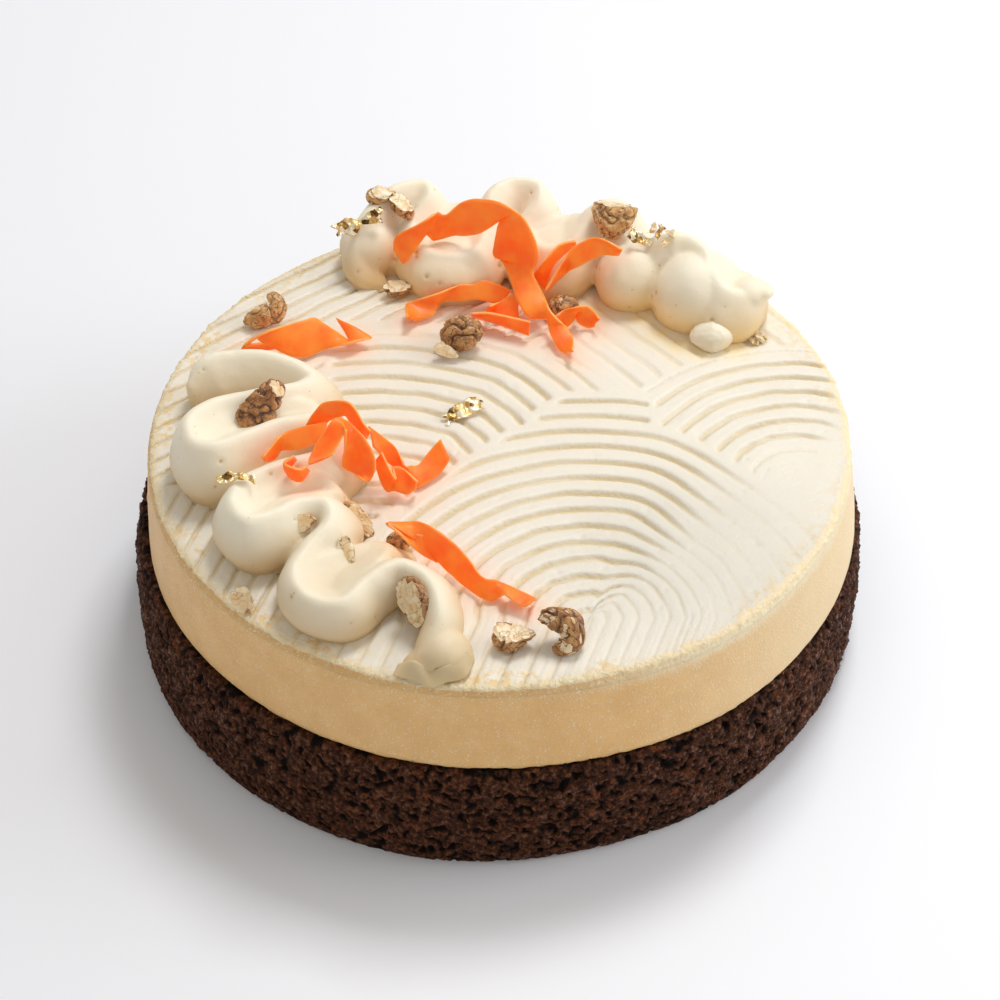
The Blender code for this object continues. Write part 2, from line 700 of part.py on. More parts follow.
def make_walnut(name, middle, size, turn, form, breaks, detail):
    """A walnut piece: a ball with furrows and broken faces, tapered, bent, and with a flat foot."""
    furrow, furrow_width, wander, floor = 0.24, 0.10, 4.2, TOP + GAP
    start, degrees, taper, square = form
    chance = random.Random(name)
    shift = Vector([chance.uniform(-20, 20) for _ in range(3)])
    bm = bmesh.new()
    bmesh.ops.create_icosphere(bm, subdivisions=detail, radius=1)
    for vert in bm.verts:
        vert.co *= sum(abs(share) ** square for share in vert.co) ** (-1 / square)
        spot = Vector([share * length / 2 for share, length in zip(vert.co, size)]) + shift
        vert.co *= 1 - furrow * math.exp(-(noise.noise(spot / wander) / furrow_width) ** 2)
        for bearing, slope, left in breaks:
            normal = width_vector(bearing, slope, 1)
            vert.co -= normal * max(0, vert.co.dot(normal) - left)
        slim = 1 - taper * vert.co.x
        thick = size[2] * (1 + slim) / 2
        vert.co = Vector((vert.co.x * size[0], vert.co.y * size[1] * slim, vert.co.z * thick)) / 2
        vert.co = bent(vert.co, size[0], start, degrees)
    low, high = [[pick(vert.co[axis] for vert in bm.verts) for axis in range(3)] for pick in (min, max)]
    lift = Matrix.Translation(Vector(middle) * MM + Vector((0, 0, TOP)))
    lean = Matrix.Rotation(math.radians(WALNUT_LEAN), 4, "X")
    long_way = Matrix.Rotation(math.radians(turn), 4, "Z")
    centred = Matrix.Scale(MM, 4) @ Matrix.Translation(-(Vector(low) + Vector(high)) / 2)
    bmesh.ops.transform(bm, matrix=lift @ lean @ long_way @ centred, verts=bm.verts)
    for vert in bm.verts:
        vert.co.z = max(vert.co.z, floor)
    return place(bm, name, WALNUT_BROWN)


def make_blob():
    """The small dab of cream beside the back swirl."""
    bm = bmesh.new()
    bmesh.ops.create_icosphere(bm, subdivisions=3, radius=1)
    stretch = Matrix.Diagonal((*[radius * MM for radius in BLOB_SIZE], 1))
    lift = Matrix.Translation(Vector(BLOB_PLACE) * MM + Vector((0, 0, TOP)))
    bmesh.ops.transform(bm, matrix=lift @ stretch, verts=bm.verts)
    for vert in bm.verts:
        vert.co.z = max(vert.co.z, TOP + GAP)
    return place(bm, "cream_blob", CREAM_IVORY)


def cut_pocket(swirl, filling):
    """Cut a pocket a little larger than a piece into the cream that the piece is pressed into."""
    bm = bmesh.new()
    bm.from_mesh(filling.data)
    hull = bmesh.ops.convex_hull(bm, input=bm.verts)
    inside = [part for part in hull["geom_interior"] if isinstance(part, bmesh.types.BMVert)]
    bmesh.ops.delete(bm, geom=inside, context="VERTS")
    bmesh.ops.delete(bm, geom=[face for face in bm.faces if face not in hull["geom"]], context="FACES_ONLY")
    bmesh.ops.recalc_face_normals(bm, faces=bm.faces)
    bm.normal_update()
    for vert, normal in [(vert, vert.normal.copy()) for vert in bm.verts]:
        vert.co += normal * GAP * 1.6
    cutter = place(bm, filling.name + "_pocket", CREAM_IVORY, group=GUIDES, smooth=False)
    cutter.hide_render = True
    cutter.display_type = "WIRE"
    cut = swirl.modifiers.new(cutter.name, "BOOLEAN")
    cut.operation = "DIFFERENCE"
    cut.object = cutter


clear_scene()
CAKE = new_collection("carrot_cake_cheesecake")
GUIDES = new_collection("cutters")

SPONGE_BROWN = new_material("sponge_brown", (0.045, 0.016, 0.008), 0.6)
CHEESE_BEIGE = new_material("cheesecake_beige", (0.76, 0.52, 0.25), 0.5)
CREAM_PALE = new_material("cream_pale", (0.93, 0.86, 0.68), 0.45)
CREAM_IVORY = new_material("cream_ivory", (0.88, 0.77, 0.55), 0.42)
CARROT_ORANGE = new_material("carrot_orange", (0.95, 0.17, 0.015), 0.4)
WALNUT_BROWN = new_material("walnut_brown", (0.33, 0.14, 0.05), 0.6)

make_sponge()
make_cheesecake()
make_cream_top()
make_swirl("swirl_front", FRONT_CREST, FRONT_BOWL_BENDS, FRONT_MOUNDS + FRONT_LEAF, 1300)
make_swirl("swirl_back", BACK_CREST, BACK_BOWL_BENDS, BACK_MOUNDS + BACK_LEAF, 1500)
make_blob()
for ribbon_name, ribbon_stations in RIBBONS.items():
    make_ribbon(ribbon_name, ribbon_stations)
for walnut_name, walnut_values in WALNUTS.items():
    make_walnut(walnut_name, *walnut_values)
for swirl_name, fillings in POCKETS.items():
    for filling_name in fillings:
        cut_pocket(CAKE.objects[swirl_name], CAKE.objects[filling_name])
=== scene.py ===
# %% [markdown]
# # Dressing a carrot cake cheesecake
# The solid model already has the size and the place of every part: the sponge, the cheesecake, the
# combed cream, two piped swirls, carrot ribbons and walnut pieces. This lesson gives each of them the
# surface and the colour of the real one. Lengths are in metres, and MM turns millimetres into metres.

# %% Tools, and the solid cake
import math
import random

import bmesh
import bpy
import numpy as np
from mathutils import Matrix, Vector, kdtree, noise


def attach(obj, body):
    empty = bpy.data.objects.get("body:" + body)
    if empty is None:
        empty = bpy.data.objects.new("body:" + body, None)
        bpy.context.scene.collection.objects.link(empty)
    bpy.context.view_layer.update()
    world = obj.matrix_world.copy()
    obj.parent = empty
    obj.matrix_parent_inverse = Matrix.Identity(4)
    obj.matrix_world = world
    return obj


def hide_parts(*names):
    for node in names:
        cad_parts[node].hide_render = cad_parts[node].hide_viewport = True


MM = 0.001
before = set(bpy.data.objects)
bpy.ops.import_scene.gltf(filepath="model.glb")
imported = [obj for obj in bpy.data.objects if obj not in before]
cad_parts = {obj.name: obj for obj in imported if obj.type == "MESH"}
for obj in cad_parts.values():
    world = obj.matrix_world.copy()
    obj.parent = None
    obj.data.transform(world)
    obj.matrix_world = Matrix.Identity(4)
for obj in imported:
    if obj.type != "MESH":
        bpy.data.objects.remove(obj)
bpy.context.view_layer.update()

# %% [markdown]
# ## The camera
# The photograph looks down at 42.9 degrees from about 0.8 m away, with a field of view of 20 degrees,
# and leans less than a degree. A long lens like this keeps the round cake from looking stretched.

# %% The camera
LENS, SENSOR = 101.79, 36
CAMERA_PLACE = (-0.000065, -0.57573, 0.57048)
LOOKS_DOWN, LEANS = 42.898, -0.845
camera_data = bpy.data.cameras.new("camera")
camera_data.lens, camera_data.sensor_width = LENS, SENSOR
camera = bpy.data.objects.new("camera", camera_data)
bpy.context.scene.collection.objects.link(camera)
looking_down = Matrix.Rotation(math.radians(90 - LOOKS_DOWN), 4, "X")
leaning = Matrix.Rotation(math.radians(LEANS), 4, "Z")
camera.matrix_world = Matrix.Translation(CAMERA_PLACE) @ looking_down @ leaning
bpy.context.scene.camera = camera
bpy.context.scene.view_settings.view_transform = "Standard"
print("The camera stands", round(camera.location.length, 3), "m from the middle of the cake's foot")

# %% [markdown]
# ## Light and floor
# The light in the photograph is soft. The main part comes from high up behind the cake on the right,
# so the top is bright, the near side is in gentle shade, and the shadow falls to the front left. A
# square lamp gives that. A second one brightens the right side, a weak third one fills the front, and
# a pale world and a pale floor throw light into the shade.

# %% Light and floor
def lamp(name, place, size, power, colour):
    """A square lamp that faces the cake."""
    data = bpy.data.lights.new(name, "AREA")
    data.size, data.energy, data.color = size, power, colour
    item = bpy.data.objects.new(name, data)
    item.location = place
    item.rotation_euler = (Vector((0, 0, 0.04)) - Vector(place)).to_track_quat("-Z", "Y").to_euler()
    bpy.context.scene.collection.objects.link(item)
    return item


lamp("key", (0.24, 0.50, 1.05), 0.32, 6.1, (0.99, 0.99, 1.0))
lamp("side", (0.72, 0.02, 0.42), 0.45, 2.2, (0.98, 0.99, 1.0))
lamp("front", (-0.3, -1.0, 0.7), 1.0, 0.5, (1.0, 1.0, 1.0))
world = bpy.data.worlds.new("studio")
world.use_nodes = True
world.node_tree.nodes["Background"].inputs["Color"].default_value = (1.0, 0.965, 0.91, 1)
world.node_tree.nodes["Background"].inputs["Strength"].default_value = 0.50
bpy.context.scene.world = world
bm = bmesh.new()
bmesh.ops.create_grid(bm, x_segments=1, y_segments=1, size=3)
floor_mesh = bpy.data.meshes.new("floor")
bm.to_mesh(floor_mesh)
bm.free()
floor = bpy.data.objects.new("floor", floor_mesh)
bpy.context.scene.collection.objects.link(floor)

# %% [markdown]
# ## Shader maths as Python
# A procedural material is a net of nodes, and much of it is plain arithmetic. Written node by node it
# is hard to read. The class Line holds the output of a node, and adding or multiplying two lines adds
# the Math node that does it.

# %% Lines between nodes
class Line:
    """A value on its way from one node to the next."""

    def __init__(self, finish, socket):
        self.finish, self.socket = finish, socket

    def maths(self, operation, *values):
        """A Math node on these values."""
        return self.finish.node("ShaderNodeMath", {"operation": operation}, dict(enumerate(values)))

    def __add__(self, other):
        return self.maths("ADD", self, other)

    def __sub__(self, other):
        return self.maths("SUBTRACT", self, other)

    def __rsub__(self, other):
        return self.maths("SUBTRACT", other, self)

    def __mul__(self, other):
        return self.maths("MULTIPLY", self, other)

    def __truediv__(self, other):
        return self.maths("DIVIDE", self, other)

    __radd__, __rmul__ = __add__, __mul__

    def __abs__(self):
        return self.maths("ABSOLUTE", self)

    def fraction(self):
        """What is left of the value after its whole number."""
        return self.maths("FRACT", self)

    def between(self, low, high):
        """0 below low, 1 above high, and a soft step in between."""
        return self.finish.node(
            "ShaderNodeMapRange",
            {"interpolation_type": "SMOOTHSTEP"},
            {"Value": self, "From Min": low, "From Max": high},
        )


# %% [markdown]
# The class Finish is one material. Its method node adds any node: first its settings, then its
# inputs, which may be numbers or lines. The others name the patterns that the cake needs: grain is
# cloudy noise, cells are rounded lumps, axis takes one number out of a place, tint blends two colours
# and bumps turns a height into relief.

# %% Finishes
class Finish:
    """A material, and the ways to add nodes to it."""

    def __init__(self, name, roughness):
        self.material = bpy.data.materials.new(name)
        self.material.use_nodes = True
        self.tree = self.material.node_tree
        self.shader = self.tree.nodes["Principled BSDF"]
        self.shader.inputs["Roughness"].default_value = roughness
        self.where = self.node("ShaderNodeTexCoord", output="Object")

    def connect(self, value, socket):
        """Give a socket a number, a colour or a line."""
        if isinstance(value, Line):
            self.tree.links.new(value.socket, socket)
        else:
            socket.default_value = value

    def node(self, kind, settings=None, inputs=None, output=0):
        """Add a node, and give back the line from one of its outputs."""
        added = self.tree.nodes.new(kind)
        for name, value in (settings or {}).items():
            if name == "stops":
                for index, (position, colour) in enumerate(value):
                    stops = added.color_ramp.elements
                    stop = stops[index] if index < 2 else stops.new(position)
                    stop.position, stop.color = position, (*colour, 1)
            else:
                setattr(added, name, value)
        for name, value in (inputs or {}).items():
            self.connect(value, added.inputs[name])
        return Line(self, added.outputs[output])

    def set(self, values):
        """Give the shader's sockets their values."""
        for name, value in values.items():
            self.connect(value, self.shader.inputs[name])

    def grain(self, size, detail=2, rough=0.5, stretch=(1, 1, 1), where=None):
        """Cloudy noise from 0 to 1, with lumps about this many millimetres across."""
        scaled = self.node("ShaderNodeMapping", {}, {"Vector": where or self.where, "Scale": stretch})
        inputs = {"Vector": scaled, "Scale": 1 / (size * MM), "Detail": detail, "Roughness": rough}
        return self.node("ShaderNodeTexNoise", {}, inputs)

    def cells(self, size, output="Distance"):
        """The distance to the middle of the nearest cell, for cells of about this many millimetres."""
        inputs = {"Vector": self.where, "Scale": 1 / (size * MM)}
        return self.node("ShaderNodeTexVoronoi", {"feature": "F1"}, inputs, output)

    def axis(self, vector, name):
        """One number of a vector: X, Y or Z."""
        return self.node("ShaderNodeSeparateXYZ", {}, {"Vector": vector}, name)

    def tint(self, share, first, second):
        """Blend two colours."""
        colours = [value if isinstance(value, Line) else (*value, 1) for value in (first, second)]
        settings = {"data_type": "RGBA", "blend_type": "MIX"}
        return self.node("ShaderNodeMix", settings, {0: share, 6: colours[0], 7: colours[1]}, 2)

    def ramp(self, value, stops):
        """Turn a value into a colour by a row of stops."""
        return self.node("ShaderNodeValToRGB", {"stops": stops}, {"Fac": value})

    def layer(self, name):
        """A value that is kept with the points of the mesh."""
        return self.node("ShaderNodeAttribute", {"attribute_name": name}, output="Fac")

    def bumps(self, height, depth):
        """Relief from a height between 0 and 1, this many millimetres deep."""
        inputs = {"Height": height, "Distance": depth * MM, "Strength": 1.0}
        self.set({"Normal": self.node("ShaderNodeBump", {}, inputs)})


pale_floor = Finish("pale_floor", 0.5)
cloud = pale_floor.grain(400)
pale_floor.set({"Base Color": pale_floor.tint(cloud, (0.90, 0.915, 0.965), (0.93, 0.945, 0.99))})
floor.data.materials.append(pale_floor.material)
print("Finishes so far:", [item.name for item in bpy.data.materials])

# %% [markdown]
# ## Helpers for the meshes
# Most pieces of the cake are one sheet of squares that is laid in place: a disc of cream, a strand, a
# ribbon. The function sheet makes the squares with Blender's grid and puts each point where a function
# says. The function keep turns a bmesh into an object that stands for its solid. TOP is the height of
# the combed cream, GAP the gap that touching solids keep, and FINE how fine the meshes are.

# %% Mesh helpers
FINE = 1
TOP = 60.5 * MM
GAP = 0.3 * MM


def sheet(columns, rows, place):
    """A grid whose points go where place says for (u, v), both from 0 to 1."""
    bm = bmesh.new()
    bm.loops.layers.uv.new("UVMap")
    bmesh.ops.create_grid(bm, x_segments=columns, y_segments=rows, size=0.5, calc_uvs=True)
    for vert in bm.verts:
        vert.co = place(vert.co.x + 0.5, vert.co.y + 0.5)
    return bm


def triangles(item):
    """How many triangles an object has, with its modifiers."""
    shown = item.evaluated_get(bpy.context.evaluated_depsgraph_get()).data
    shown.calc_loop_triangles()
    return len(shown.loop_triangles)


def keep(bm, name, finish, nodes, sharp=180):
    """Turn a bmesh into a piece of the cake that stands for these solids."""
    mesh = bpy.data.meshes.new(name)
    bm.to_mesh(mesh)
    bm.free()
    mesh.shade_smooth()
    if sharp < 180:
        mesh.set_sharp_from_angle(angle=math.radians(sharp))
    mesh.materials.append(finish.material)
    item = bpy.data.objects.new(name, mesh)
    bpy.context.scene.collection.objects.link(item)
    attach(item, "root")
    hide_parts(*nodes)
    print(f"{name}: {triangles(item)} triangles")
    return item


def turned(profile, steps):
    """Turn a profile of (radius, height) points once about the upright axis."""
    bm = bmesh.new()
    points = [bm.verts.new((radius, 0, height)) for radius, height in profile]
    edges = [bm.edges.new(pair) for pair in zip(points, points[1:])]
    bmesh.ops.spin(bm, geom=points + edges, cent=(0, 0, 0), axis=(0, 0, 1), angle=math.tau,
                   steps=steps, use_merge=True)
    bmesh.ops.remove_doubles(bm, verts=bm.verts, dist=0.001 * MM)
    bmesh.ops.recalc_face_normals(bm, faces=bm.faces)
    return bm


def filled_in(profile, step):
    """Add points to a profile, so that none are further apart than step."""
    dense = []
    for start, end in zip(profile, profile[1:]):
        count = max(1, round(math.dist(start, end) / step))
        for index in range(count):
            share = index / count
            dense.append(tuple(a + (b - a) * share for a, b in zip(start, end)))
    return dense + [profile[-1]]


def soft_step(value, low, high):
    """0 below low, 1 above high, and smooth in between."""
    share = max(0, min(1, (value - low) / (high - low)))
    return share * share * (3 - 2 * share)


def move_out(vert, distance):
    """Move a point away from the upright axis."""
    flat = Vector((vert.co.x, vert.co.y, 0))
    if flat.length > 1 * MM:
        vert.co += flat.normalized() * distance


def new_layers(bm, *names):
    """Values for the finish that are kept with the points of a mesh."""
    return [bm.verts.layers.float.new(name) for name in names]


def over_cream(place):
    """The move from the origin to a place given in millimetres over the combed cream."""
    return Matrix.Translation(Vector(place) * MM + Vector((0, 0, TOP)))


def rest_on_cream(bm):
    """Flatten what would sink into the combed cream."""
    for vert in bm.verts:
        vert.co.z = max(vert.co.z, TOP - GAP)


def thicken(item, thickness):
    """Give a sheet its thickness, half of it on each side."""
    thick = item.modifiers.new("Thickness", "SOLIDIFY")
    thick.thickness, thick.offset = thickness, 0


# %% [markdown]
# ## The sponge
# The lower third of the cake is a dark, moist carrot sponge. Its side was never covered, so it shows
# crumbs of 1 to 3 mm, near-black holes, and glints of orange-brown where a bit of carrot or a wet
# crumb catches the light. Bump alone leaves the outline smooth, so the crumbs are real relief: a fine
# turned band whose points move in and out by rounded cells and noise.

# %% The sponge's crumb
SPONGE_TOP = 33.1 * MM
SPONGE_SIDE = [(98.6, 33.1), (99.6, 31.5), (100.2, 28), (100.5, 23), (100.6, 18), (100.5, 13), (100.3, 8),
               (99.9, 3), (98.9, 0)]
SPONGE_SWELL, LEFT_FRONT_SWELL = 0.7 * MM, 1.8 * MM
RIM_RADIUS = 95.1 * MM
# Unseeded, noise_vector takes its seed from the clock and gives other crumbs each run.
noise.seed_set(1)


def crumb_height(place):
    """How far a point of the sponge stands out from its smooth side, in millimetres."""
    spot = Vector(place) / MM
    warped = spot + noise.noise_vector(spot / 2.5) * 1.3
    nearest, second = noise.voronoi(warped / 2.1)[0][:2]
    crevice = math.exp(-(second - nearest) / 0.12)
    small = 0.5 - noise.voronoi(warped / 1.1 + Vector((7, 3, 5)))[0][0]
    holes = max(0, noise.noise(warped / 2.0 + Vector((20, 0, 4))) - 0.12)
    lumps = 0.6 * noise.noise(spot / 5) + 0.5 * noise.noise(warped / 2.0)
    return 0.35 + lumps + 0.4 * small - 0.6 * crevice - 3.2 * holes


def make_sponge():
    """The sponge as a finely turned disc that swells a little, most of all low at the left front."""
    side = [(radius * MM, height * MM) for radius, height in SPONGE_SIDE]
    rows = filled_in(side, 0.5 * MM / FINE)
    ledge = filled_in([(90 * MM, SPONGE_TOP), side[0]], 0.7 * MM / FINE)[:-1]
    bm = turned([(0, SPONGE_TOP)] + ledge + rows + [(80 * MM, 0), (0, 0)], round(1180 * FINE))
    hollow = bm.verts.layers.float.new("hollow")
    for vert in bm.verts:
        radius = math.hypot(vert.co.x, vert.co.y)
        if radius < 85 * MM:
            continue
        around = vert.co.normalized() * 2.2
        offset = SPONGE_SWELL * noise.noise(around) - SPONGE_SWELL * vert.co.x / RIM_RADIUS
        at_left_front = max(0, -(vert.co.x + vert.co.y) / RIM_RADIUS / 1.45) ** 2
        offset += LEFT_FRONT_SWELL * at_left_front * (1 - vert.co.z / SPONGE_TOP)
        crumb = crumb_height(vert.co)
        vert[hollow] = max(0, min(1, 0.45 - crumb * 0.6))
        if vert.co.z > SPONGE_TOP - 0.1 * MM and radius < 98 * MM:
            vert.co.z += 0.25 * MM * min(0, crumb)
        else:
            patch = max(0, noise.noise(vert.co / (14 * MM) + Vector((3, 1, 0))) + 0.1)
            bits = min(1.4, 9 * patch * max(0, noise.noise(vert.co / (1.5 * MM))))
            low = 0.35 + 0.65 * min(1, vert.co.z / (3 * MM))
            move_out(vert, offset + crumb * MM * low)
            vert.co.z += bits * MM * soft_step(vert.co.z, SPONGE_TOP - 2 * MM, SPONGE_TOP)
    return bm


sponge_bm = make_sponge()
print("The sponge's mesh has", len(sponge_bm.verts), "points")

# %% [markdown]
# The colour follows the relief: hollows get painted shade that is nearly black, and the proud crumbs are
# dark brown. In patches they are red-brown, where bits of carrot lie under the surface. Small ochre dots on
# proud grains are painted glints, and a few moist grains carry a coat, so they catch the light as glints.

# %% The sponge's finish
crumb = Finish("sponge_crumb", 0.62)
hollow = crumb.layer("hollow")
mottle = crumb.grain(1.3, 4, 0.65)
patches = crumb.grain(11, 2)
browns = crumb.ramp(mottle, [(0.32, (0.014, 0.004, 0.002)), (0.5, (0.08, 0.025, 0.010)),
                             (0.62, (0.18, 0.058, 0.018)), (0.78, (0.38, 0.14, 0.038))])
proud = (1 - hollow).between(0.45, 0.85)
russet = crumb.tint(crumb.grain(2.2, 3).between(0.5, 0.62) * patches.between(0.45, 0.6) * proud * 0.8,
                    browns, (0.26, 0.068, 0.012))
# painted highlight: small ochre glints on proud grains; the same mask also gives them a real coat
coat_and_painted_glint = crumb.grain(0.8, 3, 0.7).between(0.70, 0.76) * patches.between(0.35, 0.55) * proud
painted_glints = crumb.tint(coat_and_painted_glint * 0.8, russet, (0.55, 0.27, 0.08))
# painted shade: the hollows are darkened to near black
painted_hollow_shade = crumb.tint(hollow.between(0.42, 0.8) * 0.95, painted_glints, (0.004, 0.0018, 0.001))
moist = crumb.grain(1.3, 4, 0.7).between(0.48, 0.6) * proud
crumb.set({"Base Color": painted_hollow_shade, "Roughness": 0.75 - 0.45 * moist, "Specular IOR Level": 0.17,
           "Coat Weight": coat_and_painted_glint * 0.8 + moist * 0.35, "Coat Roughness": 0.2})
crumb.bumps(crumb.grain(0.8, 5, 0.7) * 1.1 + crumb.cells(0.9) * 0.6, 1.0)
keep(sponge_bm, "sponge_crumb", crumb, ["sponge"])

# %% [markdown]
# ## The cheesecake
# The band above is baked cheesecake that was cut with a warm knife: smooth, matt and beige, with a
# faint grain, a few pores, and a frosty look just under the rim. It narrows a little upwards, and one
# small nub stands out at the left. A low turned band with a small waver is enough shape, and the rest
# is in the finish.

# %% The cheesecake's shape
CHEESE_BOTTOM, CHEESE_TOP = 33.4 * MM, 57.5 * MM
CHEESE_SIDE = [(95.6, 57.5), (96.5, 50), (97.3, 42), (97.8, 34.5), (97.2, 33.4)]
NUB_PLACE, NUB_WIDTH, NUB_HEIGHT = Vector((-96.6, -16, 53)) * MM, 1.8 * MM, 1.5 * MM


def waver(place):
    """How far the side wavers. Its foot swells at the right and the front, and draws in opposite them."""
    around = Vector((place.x, place.y, 0)).normalized()
    low = 0.6 * MM * max(0, min(1, (CHEESE_TOP - place.z) / (20 * MM)))
    return 0.5 * MM * noise.noise(around * 1.8) + low * (around.x - around.y) * 0.7


def make_cheesecake():
    """The cheesecake as a turned band with a slight waver and a soft grain."""
    side = filled_in([(radius * MM, height * MM) for radius, height in CHEESE_SIDE], 0.9 * MM / FINE)
    bm = turned([(0, CHEESE_TOP)] + side + [(0, CHEESE_BOTTOM)], round(620 * FINE))
    for vert in bm.verts:
        offset = waver(vert.co)
        if CHEESE_BOTTOM + 0.2 * MM < vert.co.z < CHEESE_TOP - 0.2 * MM:
            offset += 0.10 * MM * noise.noise(vert.co / (5 * MM))
            offset += 0.05 * MM * noise.noise(vert.co / (1.8 * MM))
        elif vert.co.z <= CHEESE_BOTTOM + 0.2 * MM:
            offset += 0.3 * MM * noise.noise(vert.co / (1.8 * MM))
        nub = (vert.co - NUB_PLACE).length / NUB_WIDTH
        move_out(vert, offset + NUB_HEIGHT * math.exp(-nub * nub))
    return bm


cheese_bm = make_cheesecake()
print("The cheesecake's mesh has", len(cheese_bm.verts), "points")

# %% [markdown]
# The cut side of the cream above has the same look, so the colour is a function of its own.

# %% The cheesecake's finish
def baked_tone(finish):
    """The colour of the cut side: tan, speckled, paler at the rim, and made paler on the right by painted
    light.
    """
    way = finish.axis(finish.where, "X")
    height = finish.axis(finish.where, "Z")
    cloud = finish.grain(9, 3, 0.55).between(0.35, 0.68)
    body = finish.tint(cloud, (0.84, 0.51, 0.20), (0.89, 0.56, 0.23))
    # painted light: the side is paler towards the right, where the light falls
    body = finish.tint(way.between(25 * MM, 95 * MM) * 0.7, body, (0.93, 0.75, 0.46))
    near_rim = (height + finish.grain(4, 3) * 0.005).between(56 * MM, 61.5 * MM)
    body = finish.tint(near_rim * way.between(0, 60 * MM) * 0.9, body, (1.0, 0.84, 0.57))
    speck = (1 - finish.cells(0.75).between(0.15, 0.42)) * finish.grain(1.6, 3).between(0.40, 0.6)
    body = finish.tint(speck * (0.55 + 0.4 * near_rim), body, (1.0, 0.93, 0.72))
    pores = (1 - finish.cells(3.4).between(0.03, 0.10)) * finish.grain(12, 1).between(0.45, 0.6)
    return finish.tint(pores * 0.5, body, (0.62, 0.34, 0.12))


baked = Finish("baked_cheesecake", 0.46)
fine = baked.grain(0.7, 3, 0.6)
baked.set({"Base Color": baked_tone(baked), "Roughness": 0.50 - 0.14 * fine, "Subsurface Weight": 0.15,
           "Subsurface Scale": 0.003, "Subsurface Radius": (1.0, 0.6, 0.3)})
baked.bumps(fine * 0.8 + baked.grain(9, 3, 0.55) * 0.5 - baked.cells(0.75).between(0.1, 0.5) * 0.4, 0.25)
keep(cheese_bm, "cheesecake_band", baked, ["cheesecake"], sharp=60)
